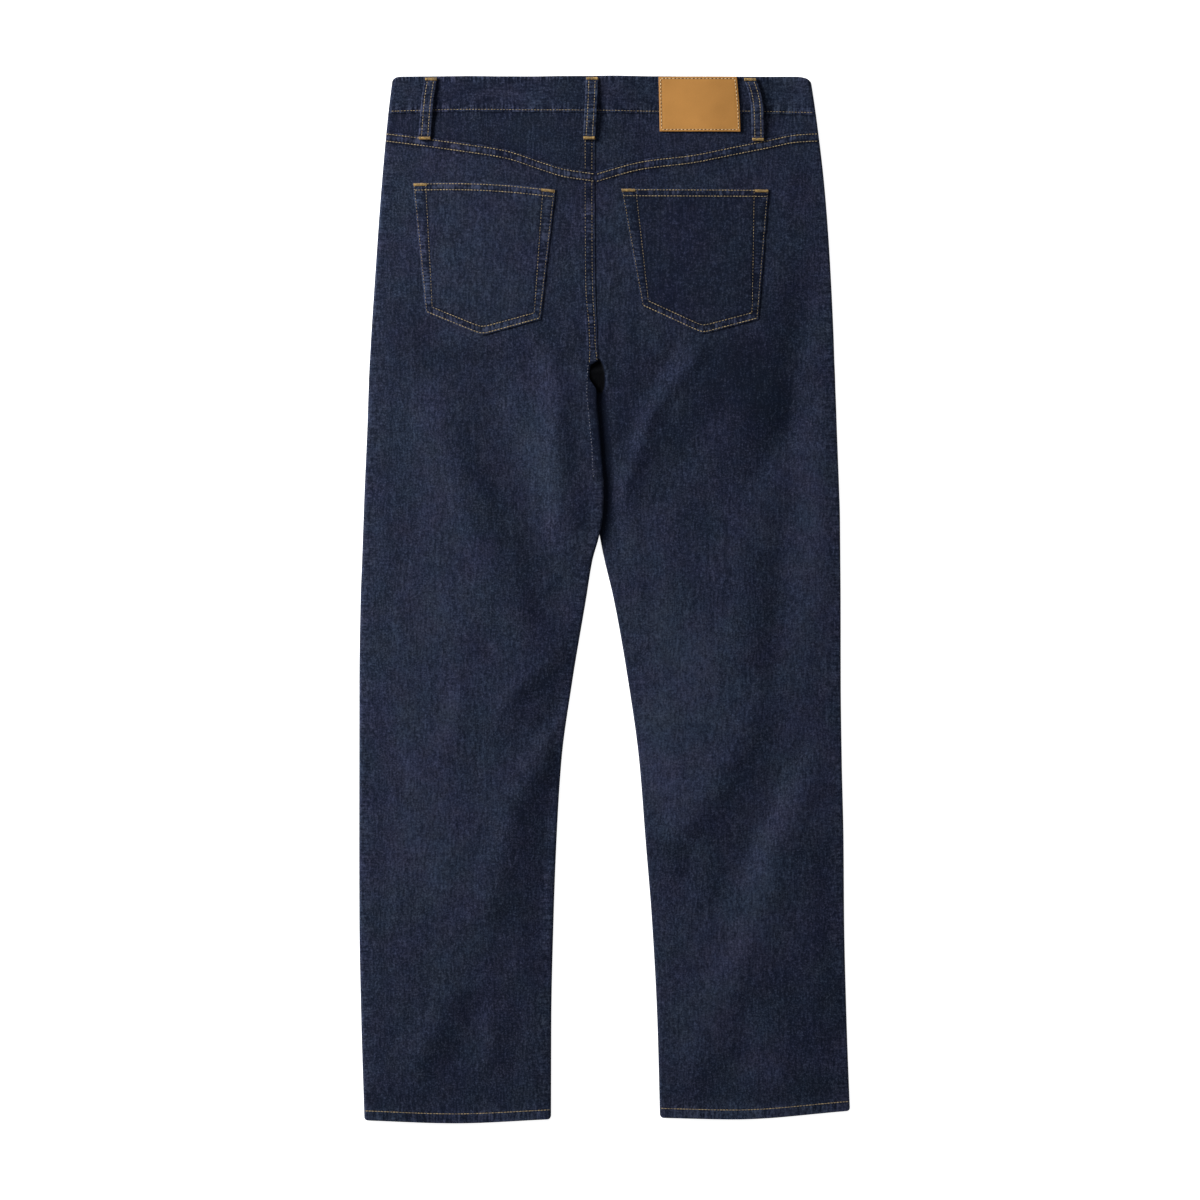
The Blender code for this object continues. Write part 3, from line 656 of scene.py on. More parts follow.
    def from_sides(
        self, side: Side, x: Field, down: Field, shape: Callable[[Field], Field], width: float
    ) -> Field:
        """A shape's rise from a leg's two edges, and over the hips from the side seam alone."""
        from_outer = shape(self.from_outer(side, x, down) / width)
        from_inner = shape(self.from_inner(side, x, down) / width)
        return from_outer * mix(1.0, from_inner, ease((down - self.crotch) / 100))

    def leg_lift(self, side: Side, x: Field, down: Field) -> Field:
        """How far the left leg is raised by the right leg's edge under it."""
        if side is Side.RIGHT:
            return np.zeros(np.broadcast(x, down).shape)
        off = self.from_inner(side, x, down) - self.lift_flat
        return self.left_lift * self.slit_share(down) * (1 - ease(off / self.lift_slope))

    def back_inside(self, side: Side, x: Field, down: Field) -> Field:
        """The height of the back's inner face, over both front layers."""
        on_leg = ease((down - self.seat_end) / (self.crotch + 30 - self.seat_end))
        space = mix(self.seat_space, self.leg_space, on_leg)
        crown = mix(self.seat_crown, self.leg_crown, on_leg)
        space = space + crown * self.from_sides(side, x, down, ease_out, self.crown_width)
        fade = self.from_sides(side, x, down, ease, self.fold_fade)
        space = space + self.folds(x, down, FOLDS) * fade
        space = np.clip(space, self.least_space, self.most_space)
        near_hem = 1 - ease((self.hem_line(side, x) - down - self.hem_depth - 3) / 30)
        space = mix(space, self.hem_space, near_hem)
        space = mix(space, self.band_inside(x) + self.yoke_step, self.waist_share(down))
        from_flat = self.from_inner(side, x, down) - self.thin_flat[side]
        near = 1 - ease(from_flat / self.thin_slope[side])
        space = mix(space, self.thin_space, self.slit_share(down) * near)
        return space + self.leg_lift(side, x, down)

    def fell(self, distance: Field) -> Field:
        """The raised strip beside a lapped seam."""
        return self.fell_raise_height * (1 - ease((distance - self.fell_width + 1) / 1.5))

    def grooves(self, distance: Field, rows: tuple[float, ...]) -> Field:
        """How far the rows of stitches at these distances draw the cloth in."""
        return -self.groove * sum(bump(distance - row, self.groove_half) for row in rows)

    def crotch_turn(self, down: Field) -> Field:
        """0 where the panels meet flat in the centre seams, 1 where their edges turn."""
        return ease((down - self.crotch) / self.crotch_turn_width + 0.5)

    def back_outside(self, side: Side, x: Field, down: Field) -> Field:
        """The height of the back's outer face, with the felled strips and the hem."""
        height = self.back_inside(side, x, down) + CLOTH.denim
        from_yoke = down - self.yoke_line(side, x)
        strip = np.where(from_yoke > 0, self.fell(from_yoke), 0.0)
        if side is Side.LEFT:
            beside = self.fell(self.from_inner(side, x, down)) * (1 - self.crotch_turn(down))
            strip = np.maximum(strip, beside)
        to_hem = self.hem_line(side, x) - down
        doubled = 1 - ease((to_hem - self.hem_depth) / 2)
        return height + strip + (CLOTH.hem - CLOTH.denim) / 2 * doubled

    def top_of_back(self, x: Field, down: Field) -> Field:
        """The height of whatever lies uppermost, without pockets, patch and loops."""
        on_band = self.band_inside(x) + CLOTH.band
        left = self.back_outside(Side.LEFT, x, down)
        right = self.back_outside(Side.RIGHT, x, down)
        on_leg = np.where(x < self.centre(down), left, right)
        return np.where(down < self.band_bottom(x), on_band, on_leg)

    def highest_near(self, x: Field, down: Field, reach_x: float, reach_down: float) -> Field:
        """The uppermost height within a small reach."""
        found = [
            self.top_of_back(x + dx, down + dy)
            for dx in (-reach_x, 0.0, reach_x)
            for dy in (-reach_down, 0.0, reach_down)
        ]
        return np.maximum.reduce(found)

    def seam_height(self, side: Side, x: Field, down: Field) -> Field:
        """The height at which the back and front meet along a leg's edge."""
        height = mix(self.seat_seam, self.leg_seam, ease((down - 140) / 110))
        thin = mix(height, self.thin_seam, self.slit_share(down))
        height = np.where(self.from_inner(side, x, down) < 30, thin, height)
        return height + self.leg_lift(side, x, down)

    def front_seam_height(self, side: Side, x: Field, down: Field) -> Field:
        """The height of the front's edge, a little lower round the pocket's scoop."""
        at_scoop = 1 - ease((down - self.scoop_end - 15) / 30)
        return self.seam_height(side, x, down) - CLOTH.gap / 2 * (1 + at_scoop)

    def under_lift(self, x: Field, down: Field) -> Field:
        """How far the fly's inner flap and the band behind the tab are raised."""
        off = x - self.centre(down) - self.ramp_start
        fly = 1 - ease((down - self.fly_end) / 40)
        return (1 - ease(off / (self.ramp_end - self.ramp_start))) * fly

    def front_outside(self, side: Side, x: Field, down: Field) -> Field:
        """The height of the front's outer face, which is the underside."""
        height = self.band_lift(x) * self.waist_share(down) + self.leg_lift(side, x, down)
        if side is Side.RIGHT:
            height = height + 2 * (CLOTH.denim + CLOTH.gap) * self.under_lift(x, down)
        return height

    def world(self, x: Field, down: Field, height: Field) -> Field:
        """Points of the garment in the frame's metres."""
        return np.stack([x, self.length / 2 - down, height], axis=-1) * MM


SHAPE = Garment()


# ---------------------------------------------------------------- finishes


Colour = tuple[float, float, float]


@dataclass(frozen=True)
class Noise:
    """One size of noise in a finish."""

    scale: float
    detail: float = 2.0
    rough: float = 0.5


class Nodes:
    """Builds one material's node tree, a node at a time."""

    def __init__(self, name: str) -> None:
        """Starts a material whose Principled shader is ready.

        Args:
            name: The finish, in plain words.
        """
        self.material = bpy.data.materials.new(name)
        self.material.use_nodes = True
        self.tree = self.material.node_tree
        self.shader = self.tree.nodes["Principled BSDF"]

    def feed(self, socket: bpy.types.NodeSocket, value: object) -> None:
        """Links another node's output to a socket, or sets the socket's value."""
        if isinstance(value, bpy.types.NodeSocket):
            self.tree.links.new(value, socket)
        else:
            socket.default_value = value

    def add(self, kind: str, inputs: dict[str, object] | None = None, **settings: object):
        """Adds a node, sets its properties, and links or sets its inputs.

        Args:
            kind: The node's type.
            inputs: Values or output sockets, by the input's name or number.
            **settings: The node's own properties.

        Returns:
            The node.
        """
        node = self.tree.nodes.new(kind)
        for key, value in settings.items():
            setattr(node, key, value)
        for key, value in (inputs or {}).items():
            self.feed(node.inputs[key], value)
        return node

    def math(self, operation: str, first: object, second: object = 0.0):
        """The output of a Math node."""
        return self.add("ShaderNodeMath", {0: first, 1: second}, operation=operation).outputs[0]

    def scaled(self, value: object, weight: object):
        """A value times its weight."""
        return self.math("MULTIPLY", value, weight)

    def centred(self, value: object, weight: object):
        """A value that lies round 0.5, brought round 0 and given a weight."""
        return self.scaled(self.math("SUBTRACT", value, 0.5), weight)

    def total(self, first: object, *others: object):
        """The sum of several values."""
        for other in others:
            first = self.math("ADD", first, other)
        return first

    def ranged(self, value: object, low: float, high: float, to_low: float = 0.0, to_high: float = 1.0):
        """A value brought from one range to another, held at its ends."""
        inputs = {0: value, 1: low, 2: high, 3: to_low, 4: to_high}
        return self.add("ShaderNodeMapRange", inputs).outputs[0]

    def blend(self, share: object, first: object, second: object, kind: str = "MIX"):
        """The colour output of a Mix node."""
        node = self.add("ShaderNodeMix", {0: share}, data_type="RGBA", blend_type=kind)
        self.feed(node.inputs[6], first)
        self.feed(node.inputs[7], second)
        return node.outputs[2]

    def between(self, share: object, dark: Colour, pale: Colour):
        """The colour that lies this share of the way from the dark one to the pale one."""
        return self.blend(share, (*dark, 1.0), (*pale, 1.0))

    def noise(self, vector: object, kind: Noise):
        """The value of a Noise node, from about 0.2 to 0.8."""
        inputs = {"Vector": vector, "Scale": kind.scale, "Detail": kind.detail, "Roughness": kind.rough}
        return self.add("ShaderNodeTexNoise", inputs).outputs["Fac"]

    def painted(self, name: str):
        """The value that a sheet carries at each vertex."""
        return self.add("ShaderNodeAttribute", attribute_name=name).outputs["Fac"]

    def place(self, turn: float = 0.0, stretch: tuple[float, float, float] = (1, 1, 1)):
        """Object coordinates, turned about +Z and then stretched."""
        source = self.add("ShaderNodeTexCoord").outputs["Object"]
        inputs = {"Vector": source, "Rotation": (0.0, 0.0, turn)}
        turned = self.add("ShaderNodeMapping", inputs).outputs[0]
        return self.add("ShaderNodeMapping", {"Vector": turned, "Scale": stretch}).outputs[0]

    def relief(self, height: object, strength: float, distance: float):
        """The normal of a surface with a fine relief."""
        inputs = {"Strength": strength, "Distance": distance, "Height": height}
        return self.add("ShaderNodeBump", inputs).outputs[0]

    def even(self, **values: object) -> None:
        """Sets the shader's uniform values, whose names have low lines for spaces."""
        for name, value in values.items():
            self.shader.inputs[name.replace("_", " ")].default_value = value

    def finish(self, colour: object, roughness: object, normal: object = None):
        """Links what varies into the shader.

        Returns:
            The finished material.
        """
        for name, value in (("Base Color", colour), ("Roughness", roughness), ("Normal", normal)):
            if value is not None:
                self.tree.links.new(value, self.shader.inputs[name])
        return self.material


@dataclass(frozen=True)
class Denim:
    """Raw indigo twill: dark warp over pale weft, with slubs along the warp."""

    name: str
    grain: Grain
    dark: Colour = (0.0051, 0.0081, 0.0225)
    pale: Colour = (0.0545, 0.0645, 0.126)
    slub: Noise = Noise(560.0, 2.0, 0.6)
    weft: Noise = Noise(640.0, 2.0, 0.6)
    grit: Noise = Noise(540.0, 3.0, 0.8)
    cloud: Noise = Noise(55.0, 3.0, 0.55)
    streak: Noise = Noise(400.0)
    rubbed: Noise = Noise(290.0, 2.0, 0.6)
    rung: Noise = Noise(480.0, 1.0)
    rung_weight: float = 3.2
    twill_pitch: float = 0.66 * MM
    twill_turn: float = math.radians(28.0)
    green: Colour = (0.90, 1.07, 0.95)
    warm: Colour = (1.07, 0.98, 0.91)

    def twill(self, nodes: Nodes):
        """The slanting ribs of the weave."""
        inputs = {
            "Vector": nodes.place(self.grain.value + self.twill_turn),
            "Scale": 0.314 / self.twill_pitch,
            "Distortion": 1.1,
            "Detail": 2.0,
            "Detail Scale": 2.2,
        }
        settings = {"wave_type": "BANDS", "bands_direction": "X"}
        return nodes.add("ShaderNodeTexWave", inputs, **settings).outputs["Fac"]

    def worn(self, nodes: Nodes, seam: object):
        """How the cloth has rubbed along its seams, with rungs between the rows."""
        amount = nodes.scaled(nodes.math("ABSOLUTE", seam), 1.7)
        rubbed = nodes.centred(nodes.noise(nodes.place(self.grain.value), self.rubbed), amount)
        # Above 0 for a seam that runs across, below 0 for one that runs down
        for way, stretch in ((1.0, (1.0, 0.12, 1.0)), (-1.0, (0.12, 1.0, 1.0))):
            amount = nodes.math("MAXIMUM", nodes.scaled(seam, way * self.rung_weight), 0.0)
            rungs = nodes.centred(nodes.noise(nodes.place(0.0, stretch), self.rung), amount)
            rubbed = nodes.total(rubbed, rungs)
        return rubbed

    def make(self) -> bpy.types.Material:
        """Builds the material."""
        nodes = Nodes(self.name)
        turn = self.grain.value
        even = nodes.place(turn)
        slub = nodes.noise(nodes.place(turn, (1.0, 0.22, 1.0)), self.slub)
        weft = nodes.noise(nodes.place(turn, (0.30, 1.0, 1.0)), self.weft)
        grit = nodes.noise(even, self.grit)
        cloud = nodes.noise(even, self.cloud)
        streak = nodes.noise(nodes.place(turn, (1.0, 0.07, 1.0)), self.streak)
        twill = self.twill(nodes)
        # Paler wear, together with painted shade and painted light, carried by each vertex
        wear_and_shade = nodes.painted("wear_and_shade")
        rubbed = self.worn(nodes, nodes.painted("seam"))
        weights = ((grit, 2.25), (slub, 1.2), (weft, 0.4), (cloud, 0.28), (streak, 0.45), (twill, 0.30))
        total = nodes.total(*(nodes.centred(value, weight) for value, weight in weights))
        specks = nodes.ranged(grit, 0.58, 0.72, 0.0, 0.40)
        total = nodes.total(total, specks, rubbed, nodes.scaled(wear_and_shade, 0.55))
        share = nodes.math("POWER", nodes.ranged(total, -0.49, 0.66), 1.6)
        colour = nodes.between(share, self.dark, self.pale)
        spots = nodes.ranged(nodes.noise(even, Noise(21.0)), 0.35, 0.65)
        fine_spots = nodes.ranged(nodes.noise(even, Noise(52.0, 3.0, 0.6)), 0.38, 0.62)
        for share, tint in ((spots, self.green), (fine_spots, self.warm)):
            colour = nodes.blend(share, colour, nodes.blend(1.0, colour, (*tint, 1.0), "MULTIPLY"))
        # Painted shade: where the values fall below -0.75, as in the crotch's pit and the slit between the
        # legs, the colour darkens almost to black
        colour = nodes.blend(1.0, colour, nodes.ranged(wear_and_shade, -2.1, -0.75, 0.08), "MULTIPLY")
        heights = ((twill, 0.6), (grit, 0.9), (slub, 0.7), (rubbed, 0.8))
        height = nodes.total(*(nodes.scaled(value, weight) for value, weight in heights))
        nodes.even(Specular_IOR_Level=0.08, Sheen_Weight=0.03, Sheen_Roughness=0.45)
        nodes.even(Sheen_Tint=(0.55, 0.62, 0.85, 1.0))
        rough = nodes.ranged(slub, 0.3, 0.7, 0.78, 0.95)
        return nodes.finish(colour, rough, nodes.relief(height, 0.55, 0.4 * MM))


@dataclass(frozen=True)
class Thread:
    """Twisted polyester thread."""

    name: str
    dark: Colour
    pale: Colour
    change: float = 150.0  # the scale at which its colour changes

    def make(self) -> bpy.types.Material:
        """Builds the material."""
        nodes = Nodes(self.name)
        place = nodes.place()
        change = nodes.noise(place, Noise(self.change, 3.0, 0.7))
        fine = nodes.noise(place, Noise(3200.0))
        share = nodes.ranged(nodes.total(change, nodes.scaled(fine, 0.3)), 0.5, 0.8)
        colour = nodes.between(share, self.dark, self.pale)
        nodes.even(Sheen_Weight=0.15)
        rough = nodes.ranged(fine, 0.3, 0.7, 0.45, 0.62)
        return nodes.finish(colour, rough, nodes.relief(fine, 0.4, 0.1 * MM))


@dataclass(frozen=True)
class Leather:
    """Smooth tan leather, a little mottled, with a fine grain."""

    name: str = "tan leather"
    dark: Colour = (0.435, 0.200, 0.046)
    pale: Colour = (0.590, 0.275, 0.066)

    def make(self) -> bpy.types.Material:
        """Builds the material."""
        nodes = Nodes(self.name)
        place = nodes.place()
        cloud = nodes.noise(place, Noise(30.0))
        pores = nodes.noise(place, Noise(700.0, 3.0, 0.7))
        cells = nodes.add("ShaderNodeTexVoronoi", {"Vector": place, "Scale": 1400.0}).outputs["Distance"]
        share = nodes.total(cloud, nodes.centred(pores, 0.5))
        share = nodes.math("SUBTRACT", share, nodes.scaled(nodes.painted("wear_and_shade"), 0.35))
        colour = nodes.between(nodes.ranged(share, 0.1, 0.9), self.dark, self.pale)
        height = nodes.total(pores, nodes.scaled(cells, 0.8))
        nodes.even(Specular_IOR_Level=0.35)
        rough = nodes.ranged(pores, 0.3, 0.7, 0.5, 0.7)
        return nodes.finish(colour, rough, nodes.relief(height, 0.35, 0.2 * MM))


@dataclass(frozen=True)
class Brass:
    """Copper brown button metal, brushed and a little rubbed."""

    name: str = "button metal"
    dark: Colour = (0.32, 0.17, 0.09)
    pale: Colour = (0.60, 0.38, 0.22)

    def make(self) -> bpy.types.Material:
        """Builds the material."""
        nodes = Nodes(self.name)
        rubbed = nodes.noise(nodes.place(), Noise(420.0, 4.0, 0.6))
        brushed = nodes.noise(nodes.place(0.4, (1.0, 0.06, 1.0)), Noise(5200.0))
        colour = nodes.between(nodes.ranged(rubbed, 0.35, 0.65), self.dark, self.pale)
        nodes.even(Metallic=1.0)
        rough = nodes.ranged(brushed, 0.3, 0.7, 0.28, 0.48)
        return nodes.finish(colour, rough, nodes.relief(brushed, 0.15, 0.1 * MM))


@dataclass(frozen=True)
class Tape:
    """The zip's woven tape."""

    name: str = "zip tape"
    dark: Colour = (0.008, 0.010, 0.026)
    pale: Colour = (0.030, 0.036, 0.070)

    def make(self) -> bpy.types.Material:
        """Builds the material."""
        nodes = Nodes(self.name)
        inputs = {"Vector": nodes.place(math.radians(45.0)), "Scale": 480.0, "Distortion": 0.6}
        ribs = nodes.add("ShaderNodeTexWave", inputs, wave_type="BANDS").outputs["Fac"]
        fuzz = nodes.noise(nodes.place(), Noise(1400.0))
        colour = nodes.between(nodes.scaled(nodes.total(ribs, fuzz), 0.5), self.dark, self.pale)
        rough = nodes.ranged(fuzz, 0.3, 0.7, 0.75, 0.92)
        return nodes.finish(colour, rough, nodes.relief(ribs, 0.5, 0.2 * MM))


@dataclass(frozen=True)
class Paper:
    """The plain pale surface that the jeans lie on."""

    name: str = "pale surface"
    dark: Colour = (0.90, 0.90, 0.90)
    pale: Colour = (0.93, 0.93, 0.93)

    def make(self) -> bpy.types.Material:
        """Builds the material."""
        nodes = Nodes(self.name)
        fuzz = nodes.noise(nodes.place(), Noise(30.0))
        nodes.even(Specular_IOR_Level=0.0, Emission_Color=(1.0, 1.0, 1.0, 1.0), Emission_Strength=0.85)
        colour = nodes.between(fuzz, self.dark, self.pale)
        return nodes.finish(colour, nodes.ranged(fuzz, 0.0, 1.0, 0.9, 0.95))


class Finishes:
    """Every finish of the jeans, made once."""

    def __init__(self) -> None:
        """Builds the materials."""
        self.denim = {grain: Denim(f"denim_{grain.name.lower()}", grain).make() for grain in Grain}
        self.gold = Thread("gold thread", (0.150, 0.115, 0.070), (0.560, 0.415, 0.210)).make()
        self.tack = Thread("bartack thread", (0.10, 0.062, 0.020), (0.50, 0.305, 0.080), 420.0).make()
        self.rubbed = Thread("rubbed inseam", (0.08, 0.085, 0.12), (0.27, 0.28, 0.36)).make()
        self.cream = Thread("cream thread", (0.62, 0.42, 0.20), (0.80, 0.62, 0.36)).make()
        # Painted shade: a dark finish for the pieces sunk along the patch's stitches
        self.shade = Thread("needle hole shade", (0.035, 0.016, 0.008), (0.07, 0.032, 0.012)).make()
        self.leather = Leather().make()
        self.brass = Brass().make()
        self.tape = Tape().make()


# ---------------------------------------------------------------- laying and sewing


@dataclass(frozen=True)
class Cut:
    """The size that a sheet was cut to."""

    width: float
    length: float
    area: float | None = None


@dataclass(frozen=True)
class Spread:
    """Where the columns of a sheet lie between its left and right edges."""

    left_marks: tuple[float, ...]
    right_marks: tuple[float, ...]
    middle: int

    def x(self, left: Field, right: Field) -> Field:
        """The x of every column, for edges given at every vertex."""
        inner = np.arange(1, self.middle + 1) / (self.middle + 1)
        zeros, ones = np.zeros(len(self.left_marks)), np.ones(len(self.right_marks))
        share = np.concatenate([zeros, inner, ones])
        last_left, last_right = self.left_marks[-1], self.right_marks[-1]
        from_left = np.concatenate([self.left_marks, np.full(self.middle, last_left), ones * 0])
        from_right = np.concatenate([zeros, np.full(self.middle, last_right), self.right_marks[::-1]])
        return mix(left + from_left, right - from_right, share)

    @property
    def count(self) -> int:
        """The number of columns."""
        return len(self.left_marks) + self.middle + len(self.right_marks)


TURN_STEPS = 7
TURN_WIDTH = 3.2
TURN = tuple(
    TURN_WIDTH * (1 - math.cos(math.pi / 2 * k / TURN_STEPS)) for k in range(TURN_STEPS + 1)
)
CENTRE_MARKS = (4.6, 6.4, 8.2, 9.2, 10.2, 11.6, 13.5)  # columns along the centre seam's rows
SETTLING = 5  # passes in which rows and columns that depend on each other settle


def turn_rise(distance: Field) -> Field:
    """How far cloth that turns round at an edge has risen, at a distance from the edge."""
    off = 1 - np.clip(distance / TURN_WIDTH, 0.0, 1.0)
    return np.sqrt(1 - off**2)


EDGE_ROUND = 0.9  # the radius of the folded edges of panels, yokes and waistband
SMALL_ROUND = 0.8  # of pockets, facings, loops and scoops


def rim_share(distance: Field, radius: float = EDGE_ROUND, least: float = 0.35) -> Field:
    """How much of its thickness cloth has near a folded edge, which is round."""
    off = 1 - np.clip(distance / radius, 0.0, 1.0)
    return least + (1 - least) * np.sqrt(1 - off**2)


@contextmanager
def editing(piece: bpy.types.Object) -> Iterator[None]:
    """Edit mode on one piece, with its whole mesh selected."""
    bpy.ops.object.select_all(action="DESELECT")
    piece.select_set(True)
    bpy.context.view_layer.objects.active = piece
    bpy.ops.object.mode_set(mode="EDIT")
    bpy.ops.mesh.select_all(action="SELECT")
    yield
    bpy.ops.object.mode_set(mode="OBJECT")


def closed_piece(
    name: str, points: Field, faces: list[tuple[int, ...]], material: bpy.types.Material
) -> bpy.types.Object:
    """Makes a piece of closed forms whose faces look outwards.

    Args:
        name: The piece's name.
        points: Its vertices, in millimetres: x, down and height.
        faces: The numbers of each face's vertices.
        material: Its finish.

    Returns:
        The new piece.
    """
    mesh = bpy.data.meshes.new(name)
    mesh.from_pydata(SHAPE.world(*points.T).tolist(), [], faces)
    mesh.materials.append(material)
    piece = bpy.data.objects.new(name, mesh)
    bpy.context.scene.collection.objects.link(piece)
    with editing(piece):
        bpy.ops.mesh.normals_make_consistent(inside=False)
    return piece


@dataclass
class Sheet:
    """A sheet of cloth: the places of its vertices, row by row, and how it is finished."""

    name: str
    place: Place
    thickness: float
    facing: Facing
    material: bpy.types.Material
    layers: Field | float = 1.0  # the share of the thickness that lies at each vertex
    rim: Field | float = 1.0  # what is left of it where an edge is round
    # paler wear, together with painted shade and painted light, for the colour
    wear_and_shade: Field | float = 0.0
    seam: Field | float = 0.0  # where the cloth is rubbed unevenly beside a seam
    smooth_angle: float = math.radians(52.0)
    thickness_steps: int = 20

    def lay(self) -> bpy.types.Object:
        """Makes the sheet as a grid, moves it into place, and gives it its wall.

        Returns:
            The finished piece, with its place in its mesh.
        """
        x, down, height = self.place
        rows, columns = x.shape
        bpy.ops.object.select_all(action="DESELECT")
        bpy.ops.mesh.primitive_grid_add(x_subdivisions=columns - 1, y_subdivisions=rows - 1, size=2)
        piece = bpy.context.active_object
        mesh = piece.data
        piece.name = mesh.name = self.name
        flat = np.empty(len(mesh.vertices) * 3)
        mesh.vertices.foreach_get("co", flat)
        flat = flat.reshape(-1, 3)
        column = np.rint((flat[:, 0] + 1) / 2 * (columns - 1)).astype(int)
        row = np.rint((1 - flat[:, 1]) / 2 * (rows - 1)).astype(int)
        layers = np.broadcast_to(self.layers, x.shape)
        rim = np.broadcast_to(self.rim, x.shape)
        sunk = height - self.facing.value * self.thickness * layers * (1 - rim) / 2
        points = SHAPE.world(x, down, sunk)[row, column]
        mesh.vertices.foreach_set("co", points.ravel())
        for name, field_values in (("wear_and_shade", self.wear_and_shade), ("seam", self.seam)):
            values = np.broadcast_to(field_values, x.shape)[row, column]
            attribute = mesh.attributes.new(name, "FLOAT", "POINT")
            attribute.data.foreach_set("value", values.astype(np.float32))
        if self.facing is Facing.DOWN:
            with editing(piece):
                bpy.ops.mesh.flip_normals()
        self.give_wall(piece, (layers * rim)[row, column])
        mesh.materials.clear()
        mesh.materials.append(self.material)
        bpy.ops.object.shade_smooth_by_angle(angle=self.smooth_angle)
        return piece

    def give_wall(self, piece: bpy.types.Object, share: Field) -> None:
        """Thickens the sheet inwards, by a share of its thickness at each vertex.

        Args:
            piece: The open sheet.
            share: The share at every vertex, in the mesh's order.
        """
        group = piece.vertex_groups.new(name="thickness")
        steps = np.rint(share * self.thickness_steps) / self.thickness_steps
        for value in np.unique(steps):
            group.add(np.flatnonzero(steps == value).tolist(), float(value), "REPLACE")
        wall = piece.modifiers.new("Wall", "SOLIDIFY")
        wall.thickness = self.thickness * MM
        wall.offset = -1
        wall.use_quality_normals = True
        wall.vertex_group = group.name
        wall.thickness_vertex_group = 0.0
        bpy.ops.object.modifier_apply(modifier=wall.name)


@dataclass(frozen=True)
class Needle:
    """Finds the height of the cloth, to sew rows of stitches and bartacks on it."""

    tree: BVHTree
    facing: Facing
    start: float = 60.0  # how far over or under the surface a needle starts
    reach: float = 0.12  # how far it goes, in metres

    @staticmethod
    def over(piece: bpy.types.Object, facing: Facing) -> "Needle":
        """A needle that sews on one piece, from the side that it faces."""
        return Needle(BVHTree.FromObject(piece, bpy.context.evaluated_depsgraph_get()), facing)

    def surface(self, x: float, down: float) -> float:
        """The height, in millimetres, of the first cloth that a needle meets there."""
        origin = Vector(SHAPE.world(x, down, self.start * self.facing.value))
        hit, _, _, _ = self.tree.ray_cast(origin, Vector((0, 0, -self.facing.value)), self.reach)
        if hit is None:
            raise ValueError(f"nothing to sew at {x:.1f}, {down:.1f}")
        return hit.z / MM


@dataclass(frozen=True)
class Path:
    """A line on the garment, as points that follow each other."""

    points: tuple[tuple[float, float], ...]

    @staticmethod
    def through(x: Field, down: Field) -> "Path":
        """A path through arrays of places."""
        return Path(tuple(zip(np.atleast_1d(x).tolist(), np.atleast_1d(down).tolist())))

    def evenly(self, pitch: float, start: float = 0.0, stop: float = 0.0) -> Field:
        """Points at an even pitch along the path.

        Args:
            pitch: The distance between them.
            start: The length that is left out at the start.
            stop: The length that is left out at the end.

        Returns:
            An array of x and down, one row for each point.
        """
        points = np.array(self.points)
        steps = np.hypot(*np.diff(points, axis=0).T)
        along = np.concatenate([[0.0], np.cumsum(steps)])
        count = max(int(round((along[-1] - start - stop) / pitch)), 1)
        at = np.linspace(start, along[-1] - stop, count + 1)
        return np.stack([np.interp(at, along, points[:, k]) for k in (0, 1)], axis=1)


THREAD_SIDES = 6
THREAD_FLATNESS = 0.8
THREAD_PROFILE = (  # share of the length, share of the radius, share of the arch
    (0.0, 0.45, 0.0),
    (0.16, 0.92, 0.72),
    (0.5, 1.0, 1.0),
    (0.84, 0.92, 0.72),
    (1.0, 0.45, 0.0),
)


@dataclass
class Embroidery:
    """Collects short threads and joins them into one piece of a single mesh."""

    points: list[Field] = field(default_factory=list)
    faces: list[tuple[int, ...]] = field(default_factory=list)

    def thread(self, start: Field, end: Field, radius: float, arch: float) -> None:
        """Adds one thread that arches from one hole in the cloth to the next.

        Args:
            start: Its first point, in millimetres: x, down and height.
            end: Its last point.
            radius: Half its thickness.
            arch: How much higher its middle lies than its ends.
        """
        along = end - start
        ahead = along / np.linalg.norm(along)
        beside = np.array([-along[1], along[0], 0.0]) / float(np.hypot(along[0], along[1]))
        above = np.cross(beside, ahead)
        above *= 1.0 if above[2] * np.sign(arch) >= 0 else -1.0
        first = len(self.points)
        for share, width, lift in THREAD_PROFILE:
            middle = start + along * share + np.array([0.0, 0.0, arch * lift])
            for k in range(THREAD_SIDES):
                angle = 2 * math.pi * k / THREAD_SIDES
                ring = beside * math.cos(angle) + above * math.sin(angle) * THREAD_FLATNESS
                self.points.append(middle + ring * radius * width)
        self.faces += tube_faces(first, len(THREAD_PROFILE), THREAD_SIDES)
        last = len(self.points) - THREAD_SIDES
        self.faces.append(tuple(first + k for k in reversed(range(THREAD_SIDES))))
        self.faces.append(tuple(last + k for k in range(THREAD_SIDES)))

    def piece(self, name: str, material: bpy.types.Material) -> bpy.types.Object:
        """Joins the threads into one smooth piece."""
        piece = closed_piece(name, np.array(self.points), self.faces, material)
        bpy.ops.object.shade_smooth()
        return piece


def tube_faces(first: int, rings: int, sides: int) -> list[tuple[int, ...]]:
    """The faces between rings of vertices that follow each other."""
    starts = [first + ring * sides for ring in range(rings - 1)]
    pairs = [(start + k, start + (k + 1) % sides) for start in starts for k in range(sides)]
    return [(a, b, b + sides, a + sides) for a, b in pairs]


@dataclass(frozen=True)
class Stitch:
    """The size of a row's stitches."""

    pitch: float = 3.1
    gap: float = 0.85
    radius: float = 0.38
    lift: float = 0.07
    arch: float = 0.14


